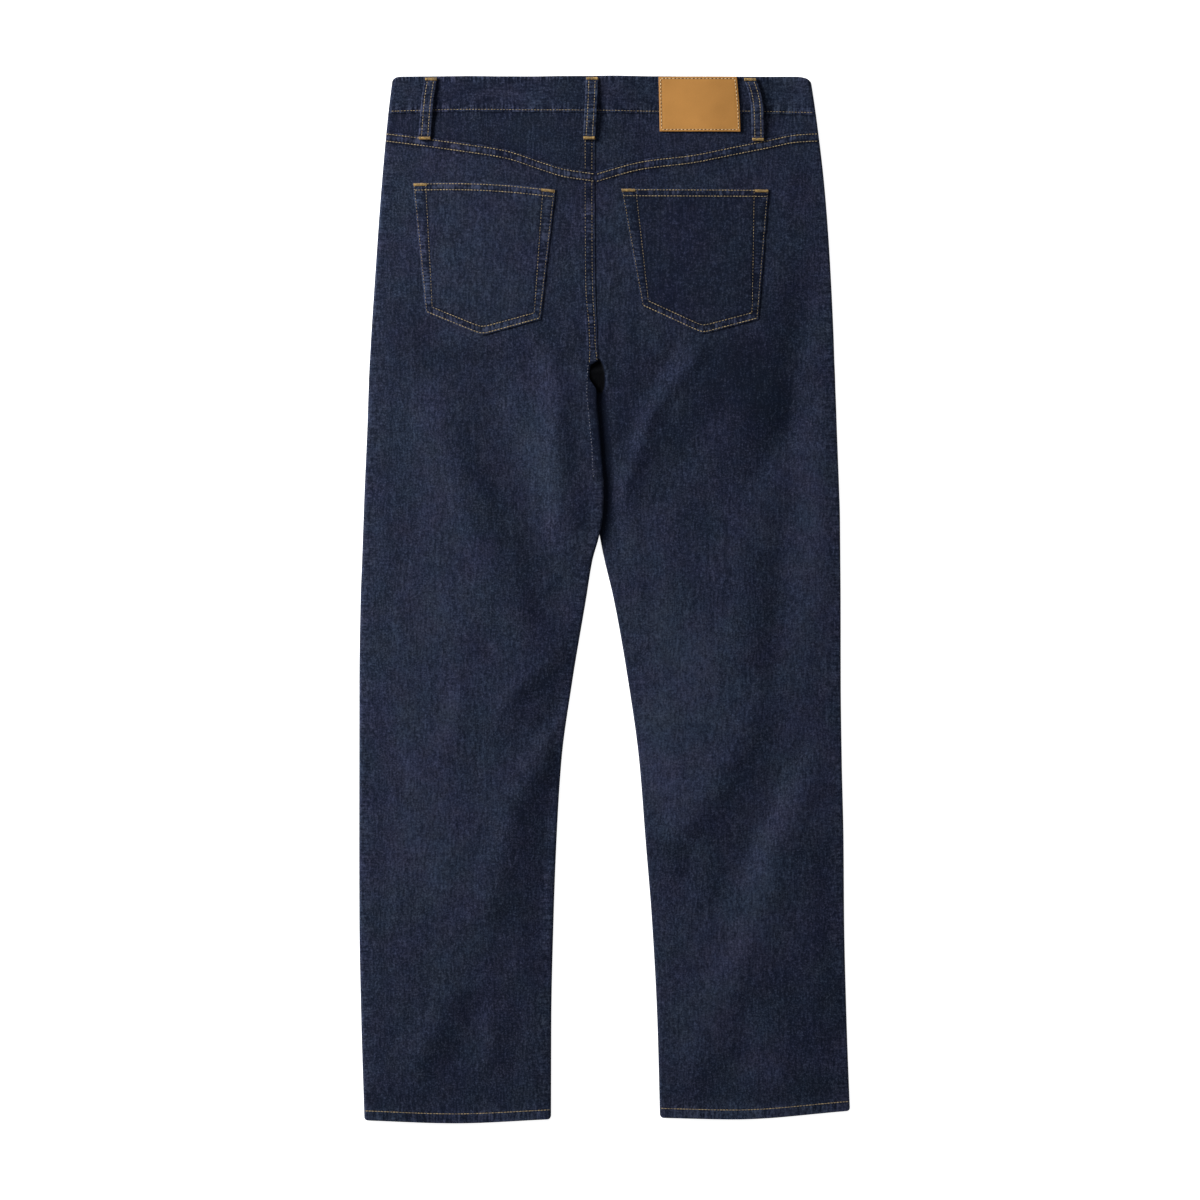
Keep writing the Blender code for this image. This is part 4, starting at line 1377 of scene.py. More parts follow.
TOPSTITCH = Stitch()
SUNK_STITCH = Stitch(gap=1.3, radius=0.195, lift=-0.02)  # along the warp, where it draws in deeper
BAND_STITCH = Stitch(gap=1.0, radius=0.24, lift=0.02)
PATCH_STITCH = Stitch(pitch=3.7, gap=1.7, radius=0.44, lift=0.04, arch=0.12)
# dark pieces sunk round the patch's stitches, as painted shade
NEEDLE_HOLE_SHADE = Stitch(pitch=3.7, gap=1.95, radius=0.92, lift=-0.58, arch=0.02)
HEM_STITCH = Stitch(gap=0.5, radius=0.33)
LOOP_STITCH = Stitch(pitch=2.9, gap=0.9, radius=0.26, lift=0.0)
UNDER_LOOP_STITCH = Stitch(lift=-0.05)
RUBBED_POINT = Stitch(pitch=3.4, gap=2.3, radius=0.36, lift=-0.04, arch=0.06)


@dataclass
class Tailor:
    """Sews on one sheet: its rows, and its bartacks."""

    needle: Needle
    rows: Embroidery = field(default_factory=Embroidery)
    tacks: Embroidery = field(default_factory=Embroidery)
    under_sink: float = 0.16  # how much deeper the rows of the underside lie
    sway: float = 0.07
    tack_radius: float = 0.34
    tack_arch: float = 0.18
    tack_lift: float = 0.16
    under_tack_lift: float = -0.12
    tack_slant: float = 0.45

    def point(self, x: float, down: float, lift: float) -> Field:
        """A place just proud of the cloth."""
        height = self.needle.surface(x, down)
        return np.array([x, down, height + lift * self.needle.facing.value])

    def row(self, path: Path, stitch: Stitch = TOPSTITCH, start: float = 0.0, stop: float = 0.0) -> None:
        """Sews a row of stitches.

        Args:
            path: Where the row runs.
            stitch: The stitches' size.
            start: The length that is left out at the start.
            stop: The length that is left out at the end.
        """
        holes = path.evenly(stitch.pitch, start, stop)
        sunk = stitch.lift - (self.needle.facing is Facing.DOWN) * self.under_sink
        for k, (first, second) in enumerate(zip(holes[:-1], holes[1:])):
            uneven = 0.5 * math.sin(2.4 * k) + 0.5 * math.sin(5.1 * k + 1.0)
            ahead = (second - first) / np.hypot(*(second - first))
            gap = ahead * stitch.gap / 2
            beside = np.array([-ahead[1], ahead[0]]) * self.sway * uneven
            begin = self.point(*(first + gap * (1.0 + 0.5 * uneven) + beside), sunk)
            end = self.point(*(second - gap - beside), sunk)
            radius = stitch.radius * (1.0 + 0.08 * uneven)
            self.rows.thread(begin, end, radius, stitch.arch * self.needle.facing.value)

    def bartack(self, start: Mark, end: Mark, width: float = 3.0, pitch: float = 0.5) -> None:
        """Sews a bartack: close threads across a short line.

        Args:
            start: The line's start.
            end: Its end.
            width: The length of its threads.
            pitch: The distance between them.
        """
        line = np.array([[start.x, start.down], [end.x, end.down]])
        along = line[1] - line[0]
        length = float(np.hypot(*along))
        ahead = along / length
        beside = np.array([-ahead[1], ahead[0]])
        slant = ahead * pitch * self.tack_slant
        lift = self.tack_lift if self.needle.facing is Facing.UP else self.under_tack_lift
        arch = self.tack_arch * self.needle.facing.value
        count = int(length / pitch)
        for k in range(count + 1):
            middle = line[0] + along * k / count
            reach = beside * width / 2 * (1.0 + 0.06 * math.sin(2.4 * k))
            begin = self.point(*(middle - reach - slant), lift)
            end = self.point(*(middle + reach + slant), lift)
            self.tacks.thread(begin, end, self.tack_radius, arch)


# ---------------------------------------------------------------- pieces


Pieces = list[bpy.types.Object]


@dataclass
class Workshop:
    """Takes threads off as pieces, attaches pieces to the body, hides the solids that they stand for, and
    logs them.
    """

    finishes: Finishes
    floor: bpy.types.Object

    def keep(
        self,
        piece: bpy.types.Object,
        node: str,
        cut: Cut,
        rests_on: list[str],
        slot: str = "denim",
        sewing: Pieces | None = None,
    ) -> None:
        """Attaches a sheet that takes a solid's place, and the threads on it, to the body, hides the solid,
        and logs them.

        Args:
            piece: The sheet.
            node: The solid that it stands for.
            cut: The size that the sheet was cut to. It is not used.
            rests_on: What it lies on. It is not used.
            slot: The material slot that its finish comes from. It is not used.
            sewing: The threads on it.
        """
        for thing in [piece] + (sewing or []):
            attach(thing, BODY)
        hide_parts(node)
        LOG.info("%s: %d faces, %d sewn on", piece.name, len(piece.data.polygons), len(sewing or []))

    def take_off(self, tailor: Tailor, name: str) -> Pieces:
        """The threads of one sheet, as pieces."""
        made = []
        if tailor.rows.points:
            made.append(tailor.rows.piece(f"{name}_stitches", self.finishes.gold))
        if tailor.tacks.points:
            made.append(tailor.tacks.piece(f"{name}_bartacks", self.finishes.tack))
        return made


@dataclass
class LegPanel:
    """Half of a leg, from the seam above it to the hem."""

    side: Side
    shop: Workshop
    top_marks: tuple[float, ...] = ()  # the first rows' distances below the upper edge
    hem_marks: tuple[float, ...] = (12.6, 11.6, 10.6, 9.6, 8.6, 7.0, 5.2, 3.4, 1.8, 0.9, 0.35, 0.0)
    hem_row: float = 9.6
    first_level: float = 112.0
    last_level: float = 1030.0
    slant_end: float = 130.0
    corner_radius: float = 4.0
    pit_top: float = 281.6
    pit_bottom: float = 314.0
    pit_width: float = 7.0
    leg_middle: float = 125.0
    rope_pitch: float = 8.6
    rope_slant: float = 0.75
    rope_height: float = 0.16

    def top_line(self, x: Field) -> Field:
        """The panel's upper edge."""
        raise NotImplementedError

    @property
    def levels(self) -> Field:
        """The rows between the top and the hem."""
        raise NotImplementedError

    def rows_at(self, x: Field) -> Field:
        """The distance down of each row where it passes x."""
        top, hem = self.top_line(x), SHAPE.hem_line(self.side, x) - self.corner(x)
        first = len(self.top_marks)
        last = x.shape[0] - len(self.hem_marks)
        down = np.empty(x.shape)
        down[:first] = top[:first] + np.array(self.top_marks)[:, None]
        down[last:] = hem[last:] - np.array(self.hem_marks)[:, None]
        level = self.levels[:, None] + np.zeros((1, x.shape[1]))
        slant = top[first:last] + self.top_marks[-1] + 2.4 - self.levels[0]
        level = level + slant * (1 - ease((level - self.levels[0]) / self.slant_end))
        to_hem = hem[first:last] - SHAPE.length
        down[first:last] = level + to_hem * ease((level - 900) / 120)
        return down

    def to_hem(self, x: Field, down: Field) -> Field:
        """The distance from the lower edge."""
        return SHAPE.hem_line(self.side, x) - down

    def corner(self, x: Field) -> Field:
        """How much the hem's two corners are rounded off."""
        outer, inner = self.edges(np.array([SHAPE.length - 8.0]))
        to_edge = np.minimum(np.abs(x - outer[0]), np.abs(x - inner[0])) / self.corner_radius
        off = 1 - np.clip(to_edge, 0.0, 1.0)
        return self.corner_radius * (1 - np.sqrt(1 - off**2))

    def recess(self, down: Field) -> Field:
        """How far the left leg draws back where the crotch opens."""
        opens = ease((down - self.pit_top - 2.5) / 6) * (1 - ease((down - self.pit_bottom + 13) / 14))
        return self.pit_width * opens * (self.side is Side.LEFT)

    def edges(self, down: Field) -> tuple[Field, Field]:
        """The x of the panel's outer and inner edges."""
        return SHAPE.outer(self.side, down), SHAPE.inner(self.side, down)

    def grid(self, spread: Spread) -> tuple[Field, Field]:
        """Solves the vertices' places, because rows bend with x and columns with the level."""
        count = len(self.top_marks) + len(self.levels) + len(self.hem_marks)
        x = np.full((count, spread.count), self.leg_middle * self.side.sign)
        for _ in range(SETTLING):
            x = spread.x(*self.side.in_order(*self.edges(self.rows_at(x))))
        return x, self.rows_at(x)

    def roping(self, x: Field, to_hem: Field) -> Field:
        """The slanting ridges of a hem that the needle has twisted."""
        phase = x + self.rope_slant * to_hem + 2.4 * Ripple(23.0, 31.0, 5)(x, to_hem)
        within = ease((SHAPE.hem_depth - to_hem + 2) / 3) * ease(to_hem / 2.5)
        return self.rope_height * np.sin(2 * math.pi * phase / self.rope_pitch) * within

    def hem_layers(self, x: Field, down: Field) -> Field:
        """The share of a hem's thickness that lies at each place."""
        doubled = 1 - ease((self.to_hem(x, down) - SHAPE.hem_depth) / 2)
        return mix(CLOTH.denim / CLOTH.hem, 1.0, doubled)

    def hem_path(self) -> Path:
        """The hem's row of stitches."""
        level = SHAPE.length - 14
        outer, inner = self.edges(np.array([level]))
        x = np.linspace(outer[0] - 1.4 * self.side.sign, inner[0] + 1.4 * self.side.sign, 40)
        return Path.through(x, SHAPE.hem_line(self.side, x) - self.hem_row)

    def area(self) -> float:
        """The panel's flat area, in square millimetres."""
        down = np.linspace(SHAPE.band_depth + 30, SHAPE.length, 200)
        outer, inner = self.edges(down)
        return float(np.trapz(np.abs(outer - inner) + 4.0, down))


@dataclass
class BackLeg(LegPanel):
    """The back of a leg, with the felled seams over the yoke and the other back panel."""

    middle: int = 72
    row_step: float = 2.45
    top_marks: tuple[float, ...] = (
        0.0, 0.3, 0.8, 1.5, 2.3, 3.1, 4.6, 6.4, 8.3, 9.4, 10.3, 11.4, 13.0,
    )  # fmt: skip
    yoke_rows: tuple[float, float] = (2.3, 9.4)
    yoke_row_ends: dict[Side, tuple[float, float]] = field(
        default_factory=lambda: {Side.LEFT: (-218.6, -10.4), Side.RIGHT: (-7.9, 213.2)}
    )
    centre_rows: tuple[float, float] = (3.1, 9.8)
    centre_turn: float = 214.0  # where the two rows begin to draw together
    centre_end: float = 284.5
    allowance: float = 11.0  # how far the right panel reaches under the left one
    tucked_marks: tuple[float, ...] = (
        0.0, 0.25, 0.7, 1.3, 2.2, 3.2, 5.0, 7.5, 9.6, 10.5, 10.9, 11.3, 12.0,
        13.0, 14.0, 15.0, 16.0, 17.0, 18.0, 19.0, 20.5,
    )  # fmt: skip
    pit_depth: float = 3.0
    lap_sink: float = 0.95  # how much deeper the right panel lies under the left one
    cut_width: float = 232.0
    cut_length: float = 985.0

    def from_yoke(self, x: Field, down: Field) -> Field:
        """The distance below the seam under the yoke."""
        return down - SHAPE.yoke_line(self.side, x)

    def top_line(self, x: Field) -> Field:
        """The folded edge that laps over the yoke."""
        return SHAPE.yoke_line(self.side, x) + CLOTH.gap / 2

    @property
    def levels(self) -> Field:
        """Even rows down the leg."""
        count = int((self.last_level - self.first_level) / self.row_step)
        even = np.linspace(self.first_level, self.last_level, count)
        close = np.arange(self.pit_top, self.pit_bottom + 4, 1.1)
        outside = (even < close[0] - 0.8) | (even > close[-1] + 0.8)
        return np.sort(np.concatenate([even[outside], close]))

    def edges(self, down: Field) -> tuple[Field, Field]:
        """The x of the outer edge, and of the inner one where it tucks under or opens the crotch."""
        inner = SHAPE.inner(self.side, down) - self.recess(down)
        if self.side is Side.RIGHT:
            inner = inner - self.allowance * (1 - ease((down - self.pit_bottom + 8) / 42))
        return SHAPE.outer(self.side, down), inner

    def pit(self, x: Field, down: Field) -> tuple[Field, Field]:
        """Where the right panel falls into the crotch's pit, and the lip round it."""
        along = np.clip((down - self.pit_top) / (self.pit_bottom - self.pit_top), 0.0, 1.0)
        wall = -5.0 + 4.2 * along + 3.6 * np.sin(math.pi * along) ** 0.6
        within = ease((down - self.pit_top) / 4) * (1 - ease((down - self.pit_bottom + 6) / 12))
        return within * ease((wall - x) / 1.8), within * bump(x - wall - 1.4, 1.3)

    def detail(self, x: Field, down: Field) -> Field:
        """The relief that is finer than the solid's: creases, puckers and stitch grooves."""
        fade = SHAPE.from_sides(self.side, x, down, ease, 10.0)
        fine = SHAPE.folds(x, down, CREASES) + 0.16 * Ripple(24.0, 44.0, 1)(x, down)
        fine = fine + 0.5 * SHAPE.folds(x, down, FOLDS, 0.6)
        fine = fine + 0.09 * Ripple(8.0, 15.0, 2)(x, down)
        from_yoke, to_hem = self.from_yoke(x, down), self.to_hem(x, down)
        pucker = Ripple(6.5, 400.0, 3)(x, from_yoke) * bump(from_yoke - 6.0, 6.5)
        height = fine * fade * ease((to_hem - 8) / 14) + 0.30 * pucker
        height = height + SHAPE.grooves(from_yoke, self.yoke_rows)
        height = height + SHAPE.grooves(to_hem, (self.hem_row,)) * 1.3 + self.roping(x, to_hem)
        height = height + self.side_puckers(x, down)
        if self.side is Side.LEFT:
            return height + self.centre_relief(x, down, from_yoke)
        sunk, lip = self.pit(x, down)
        under = ease((SHAPE.inner(self.side, down) - x) / 0.5)
        under = under * (1 - ease((down - self.pit_bottom) / 20))
        depth = self.pit_depth * (1 - 0.85 * ease((down - SHAPE.crotch) / 6))
        return height - self.lap_sink * under * (1 - sunk) - depth * sunk + 0.7 * lip

    def centre_row(self, row: int, down: Field) -> Field:
        """The distance of one of the two rows down the centre seam from its edge."""
        drawn = ease((down - self.centre_turn) / 40)
        met = ease((down - self.centre_end + 14) / 14)
        if row == 0:
            return mix(mix(self.centre_rows[0], 2.2, drawn), 0.9, met)
        return mix(mix(self.centre_rows[1], 7.8, drawn), 8.4, met)

    def side_puckers(self, x: Field, down: Field) -> Field:
        """Short waves that the side seams draw in."""
        off_outer = SHAPE.from_outer(self.side, x, down)
        off_inner = SHAPE.from_inner(self.side, x, down)
        on_leg = ease((down - SHAPE.crotch) / 40)
        outer = Ripple(60.0, 7.5, 7)(x, down) * bump(off_outer - 4.5, 5.0)
        inner = Ripple(60.0, 6.0, 8)(x, down) * bump(off_inner - 5.0, 5.0) * on_leg
        return 0.22 * outer + 0.24 * inner

    def centre_relief(self, x: Field, down: Field, from_yoke: Field) -> Field:
        """The centre seam's grooves, and the puckered ridge that goes on down the inseam."""
        off = SHAPE.from_inner(self.side, x, down)
        above = (1 - ease((down - SHAPE.crotch + 6) / 8)) * ease(from_yoke / 6)
        seam = sum(SHAPE.grooves(off - self.centre_row(row, down), (0.0,)) for row in (0, 1)) * above
        seam = seam + 0.26 * Ripple(40.0, 6.0, 9)(x, down) * bump(off - 6.0, 5.5) * above
        ridge = ease((down - 300) / 16) * (1 - ease((down - 380) / 60))
        crest = 0.35 + 0.30 * Ripple(50.0, 4.2, 10)(x, down)
        return seam + crest * bump(off - 10.5, 3.6) * ridge

    def worn(self, x: Field, down: Field) -> Field:
        """Where folded edges are a little paler, with painted shade and painted light laid on: the table's
        strokes, the shade between the legs and beside the rows, the near black crotch pit and a highlight on
        its rim.
        """
        from_yoke, to_hem = self.from_yoke(x, down), self.to_hem(x, down)
        rubbed = patchy(x, down, 9.0, 12)
        edges = bump(from_yoke, 1.2) + bump(from_yoke - 6.0, 2.4) * 0.40 + bump(to_hem, 1.6)
        sides = bump(SHAPE.from_outer(self.side, x, down), 3.5) * 0.5
        # Painted shade and painted light from the table's strokes, and painted shade between the legs
        tone = SHAPE.folds(x, down, PAINTED_LIGHT_AND_SHADE) + self.between_legs(x, down)
        tone = tone + 0.6 * Ripple(3.4, 300.0, 14)(x, down) * bump(from_yoke - 6.0, 3.8)
        # Painted shade beside the rows over the yoke, below the felled strip and above the hem
        tone = tone - 0.9 * sum(bump(from_yoke - row, 1.6) for row in self.yoke_rows)
        tone = tone - 0.2 * bump(from_yoke - 11.8, 1.6) - 0.12 * bump(to_hem - 12.0, 2.5)
        if self.side is Side.RIGHT:
            sunk, lip = self.pit(x, down)
            # A painted highlight on the pit's rim, and painted shade that turns the pit near black
            return (edges + sides) * rubbed + tone + 0.8 * lip - 1.4 * ease(sunk / 0.5)
        off = SHAPE.from_inner(self.side, x, down)
        above = 1 - ease((down - SHAPE.crotch + 4) / 10)
        spots = np.clip(Ripple(30.0, 2.9, 13)(x, down), 0, 1) ** 0.6
        low = ease((down - 304) / 10) * (1 - ease((down - 380) / 60))
        ridge = bump(off, 1.2) * above * 0.8 + 0.9 * bump(off - 9.5, 1.8) * low * spots
        tone = tone + 0.6 * Ripple(300.0, 3.4, 15)(x, down) * bump(off - 6.0, 4.0) * above
        # Painted shade beside the two rows of the centre seam
        for row in (0, 1):
            tone = tone - 0.8 * bump(off - self.centre_row(row, down), 1.5) * above
        tone = tone + 0.5 * bump(down - 281.0, 5.0) * bump(off - 5.0, 5.0)
        return (edges + sides + ridge) * rubbed + tone

    def seams(self, x: Field, down: Field) -> Field:
        """The strips along the felled seams, the side seams and the hem."""
        from_yoke, to_hem = self.from_yoke(x, down), self.to_hem(x, down)
        strips = bump(from_yoke - 5.0, 7.0) + 0.6 * bump(to_hem - 5.0, 8.0)
        strips = strips - 0.4 * bump(SHAPE.from_outer(self.side, x, down) - 4.0, 6.0)
        if self.side is Side.RIGHT:
            return strips
        beside = bump(SHAPE.from_inner(self.side, x, down) - 6.0, 5.0)
        above = mix(1.0, 0.4, ease((down - SHAPE.crotch) / 20))
        return mix(strips, -1.0, beside * ease((from_yoke - 8.0) / 4) * above)

    def between_legs(self, x: Field, down: Field) -> Field:
        """The deep shade in the fold where one leg lies over the other."""
        past = x - SHAPE.inner(Side.LEFT, down)
        open_part = ease((down - self.pit_top) / 8)
        if self.side is Side.RIGHT:
            return -1.0 * (1 - ease((past - 5.0) / 8)) * open_part * (1 - ease((down - 450) / 40))
        return -1.0 * bump(past, 8.0) * open_part * (1 - ease((down - 370) / 50))

    def build(self) -> None:
        inner_marks = TURN + CENTRE_MARKS if self.side is Side.LEFT else self.tucked_marks
        spread = Spread(*self.side.in_order(TURN + (4.8, 6.8), inner_marks), self.middle)
        x, down = self.grid(spread)
        flat = SHAPE.back_outside(self.side, x, down) + self.detail(x, down)
        edge = SHAPE.seam_height(self.side, x, down) + CLOTH.gap / 2
        turned = SHAPE.crotch_turn(down)
        from_edge = np.abs(x - self.edges(down)[1])
        if self.side is Side.LEFT:
            at_pit = ease((down - self.pit_top) / 6) * (1 - ease((down - self.pit_bottom) / 20))
            edge = edge + 1.4 * at_pit
        rise_inner = mix(1.0, turn_rise(from_edge), turned)
        rise = turn_rise(SHAPE.from_outer(self.side, x, down)) * rise_inner
        rim = rim_share(down - self.top_line(x)) * rim_share(self.to_hem(x, down))
        if self.side is Side.LEFT:
            rim = rim * mix(rim_share(from_edge), 1.0, turned)
        name = self.side.value
        piece = Sheet(
            f"denim_back_leg_{name}",
            (x, down, mix(edge, flat, rise)),
            CLOTH.hem,
            Facing.UP,
            self.shop.finishes.denim[Grain.DOWN],
            layers=self.hem_layers(x, down),
            rim=rim,
            wear_and_shade=self.worn(x, down),
            seam=self.seams(x, down),
        ).lay()
        cut = Cut(self.cut_width, self.cut_length, self.area())
        under = [f"denim_front_leg_{name}"]
        self.shop.keep(piece, f"back_leg_{name}", cut, under, sewing=self.sew(piece))

    def sew(self, piece: bpy.types.Object) -> Pieces:
        """The rows over the yoke, down the centre seam and round the hem."""
        tailor = Tailor(Needle.over(piece, Facing.UP))
        x = np.linspace(*self.yoke_row_ends[self.side], 60)
        for row in self.yoke_rows:
            tailor.row(Path.through(x, self.top_line(x) + row + 0.2 * self.side.sign))
        tailor.row(self.hem_path(), HEM_STITCH)
        if self.side is Side.LEFT:
            for row in (0, 1):
                down = np.linspace(101.0 + 5.0 * row, self.centre_end + 2.5 * row, 80)
                x = SHAPE.inner(self.side, down) - self.centre_row(row, down)
                tailor.row(Path.through(x, down), SUNK_STITCH)
        made = self.shop.take_off(tailor, piece.name)
        return made + [self.rub_inseam(tailor.needle)] if self.side is Side.LEFT else made

    def rub_inseam(self, needle: Needle) -> bpy.types.Object:
        """The row of pale points to which the inseam's puckered ridge has rubbed."""
        tailor = Tailor(needle)
        down = np.linspace(288.0, 402.0, 60)
        away = 9.8 + 0.5 * Ripple(30.0, 9.0, 16)(down, down) - self.recess(down) * 0.1
        tailor.row(Path.through(SHAPE.inner(self.side, down) - away, down), RUBBED_POINT)
        return tailor.rows.piece("denim_back_leg_left_rubbed_inseam", self.shop.finishes.rubbed)


@dataclass
class FrontLeg(LegPanel):
    """The front of a leg, which lies under, with its pocket's scoop and its half of the fly."""

    middle: int = 44
    row_step: float = 3.9
    top_marks: tuple[float, ...] = (
        0.0, 0.3, 0.9, 2.0, 4.0, *range(7, 84, 3), 85.5, 87.5, 89.5, 92.0, 95.0,
    )  # fmt: skip
    scoop_rows: tuple[float, float] = (2.2, 8.6)
    fly_rows: tuple[float, float] = (37.0, 43.4)
    fly_bottom: float = 172.0
    front_seam_rows: tuple[float, float] = (2.4, 8.8)
    cut_width: float = 262.0
    cut_length: float = 1010.0

    def top_line(self, x: Field) -> Field:
        """The edge that is sewn into the waistband."""
        return SHAPE.band_bottom(x) + CLOTH.gap / 2

    @property
    def levels(self) -> Field:
        """Even rows down the leg."""
        first = SHAPE.scoop_end + 10.0
        count = int((self.last_level - first) / self.row_step)
        return np.linspace(first, self.last_level, count)

    def edges(self, down: Field) -> tuple[Field, Field]:
        """The side seam or the scoop, and the centre seam or the fly's flap."""
        outer = SHAPE.outer(self.side, down) - self.side.sign * SHAPE.scoop(down)
        inner = SHAPE.inner(self.side, down)
        inner = inner - self.recess(down) * ease((down - SHAPE.crotch + 6) / 6)
        if self.side is Side.RIGHT:
            to_seam = ease((down - SHAPE.fly_start) / (SHAPE.fly_end - SHAPE.fly_start))
            inner = inner - (SHAPE.under_end + CLOTH.gap) * (1 - to_seam)
        return outer, inner

    def detail(self, x: Field, down: Field, off_outer: Field, off_inner: Field) -> Field:
        """Creases and puckers, which only hollow the underside out."""
        fade = ease(off_outer / 14) * ease(off_inner / 14)
        fine = 0.6 * SHAPE.folds(x, down, FRONT_CREASES)
        fine = fine + 0.14 * (1 + Ripple(22.0, 38.0, 21)(x, down))
        to_hem = self.to_hem(x, down)
        height = fine * fade * ease((to_hem - 8) / 14)
        height = height + 0.16 + self.roping(x, to_hem) * ease((to_hem - 0.4) / 2)
        height = height - SHAPE.grooves(to_hem, (self.hem_row,))
        off = np.abs(x - SHAPE.centre(down))
        if self.side is Side.LEFT:
            above = 1 - ease((down - self.fly_bottom + 10) / 14)
            height = height - SHAPE.grooves(off, self.fly_rows) * above
        at_scoop = 1 - ease((down - SHAPE.scoop_end) / 4)
        return np.maximum(height - SHAPE.grooves(off_outer, self.scoop_rows) * at_scoop, 0.0)

    def build(self) -> None:
        marks = TURN + (4.6, 6.2, 7.6, 8.6, 9.6, 11.5)
        x, down = self.grid(Spread(marks, marks, self.middle))
        outer, inner = self.edges(down)
        off_outer, off_inner = np.abs(x - outer), np.abs(x - inner)
        flat = SHAPE.front_outside(self.side, x, down)
        flat = flat + self.detail(x, down, off_outer, off_inner)
        edge = SHAPE.front_seam_height(self.side, x, down)
        outer_turn = ease((down - SHAPE.scoop_end) / 5)
        inner_turn = SHAPE.crotch_turn(down)
        rise = mix(1.0, turn_rise(off_outer), outer_turn)
        rise = rise * mix(1.0, turn_rise(off_inner), inner_turn)
        rim = rim_share(down - self.top_line(x))
        rim = rim * rim_share(self.to_hem(x, down))
        rim = rim * mix(rim_share(off_outer, SMALL_ROUND), 1.0, outer_turn)
        rim = rim * mix(rim_share(off_inner, SMALL_ROUND), 1.0, inner_turn)
        to_hem = self.to_hem(x, down)
        worn = bump(off_outer, 1.4) + bump(to_hem, 1.6)
        name = self.side.value
        piece = Sheet(
            f"denim_front_leg_{name}",
            (x, down, mix(edge, flat, rise)),
            CLOTH.hem,
            Facing.DOWN,
            self.shop.finishes.denim[Grain.DOWN],
            layers=self.hem_layers(x, down),
            rim=rim,
            wear_and_shade=worn * patchy(x, down, 9.0, 22),
            seam=0.6 * bump(to_hem - 5.0, 8.0) - 0.7 * bump(off_outer - 4.5, 6.0),
        ).lay()
        cut = Cut(self.cut_width, self.cut_length, self.area())
        sewing = self.sew(piece)
        self.shop.keep(piece, f"front_leg_{name}", cut, [self.shop.floor.name], sewing=sewing)

    def sew(self, piece: bpy.types.Object) -> Pieces:
        """The rows round the scoop, the hem and, on the left, the fly and the front seam."""
        tailor = Tailor(Needle.over(piece, Facing.DOWN))
        sign = self.side.sign
        tailor.row(self.hem_path(), HEM_STITCH)
        down = np.linspace(SHAPE.scoop_top + 3.5, SHAPE.scoop_end + 1, 70)
        edge = SHAPE.outer(self.side, down) - sign * SHAPE.scoop(down)
        tangent = np.stack([np.gradient(edge), np.gradient(down)])
        tangent /= np.hypot(*tangent)
        for row in self.scoop_rows:
            x = edge - sign * row * np.abs(tangent[1])
            low = down + row * np.abs(tangent[0])
            keep = np.abs(x - SHAPE.outer(self.side, low)) > 3.5
            tailor.row(Path.through(x[keep], low[keep]))
            low_x = float(x[keep][-1])
        corner = Mark(low_x - sign * 3.0, SHAPE.scoop_end + 6.5)
        tailor.bartack(corner, Mark(low_x - sign * 10.0, SHAPE.scoop_end + 1.5), 2.4)
        if self.side is Side.LEFT:
            self.sew_fly(tailor)
        return self.shop.take_off(tailor, piece.name)

    def sew_fly(self, tailor: Tailor) -> None:
        """The fly's curved double row, and the two rows down to the crotch."""
        for row in self.fly_rows:
            straight = np.linspace(SHAPE.band_depth + 5, self.fly_bottom - row * 0.55, 30)
            turn = np.linspace(0, math.pi / 2, 16)[1:]
            reach_x, reach_down = row - 5.0, row * 0.8
            curve_x = SHAPE.centre(self.fly_bottom) - 5.0 - reach_x * np.cos(turn)
            curve_down = straight[-1] + reach_down * np.sin(turn)
            x = np.concatenate([SHAPE.centre(straight) - row, curve_x])
            tailor.row(Path.through(x, np.concatenate([straight, curve_down])))
        start = Mark(SHAPE.centre(196.0) - 2.0, 197.0)
        tailor.bartack(start, Mark(SHAPE.centre(206.0) - 2.0, 208.0), 2.8)
        for row in self.front_seam_rows:
            down = np.linspace(212.0, SHAPE.crotch - 3, 24)
            tailor.row(Path.through(SHAPE.centre(down) - row, down))


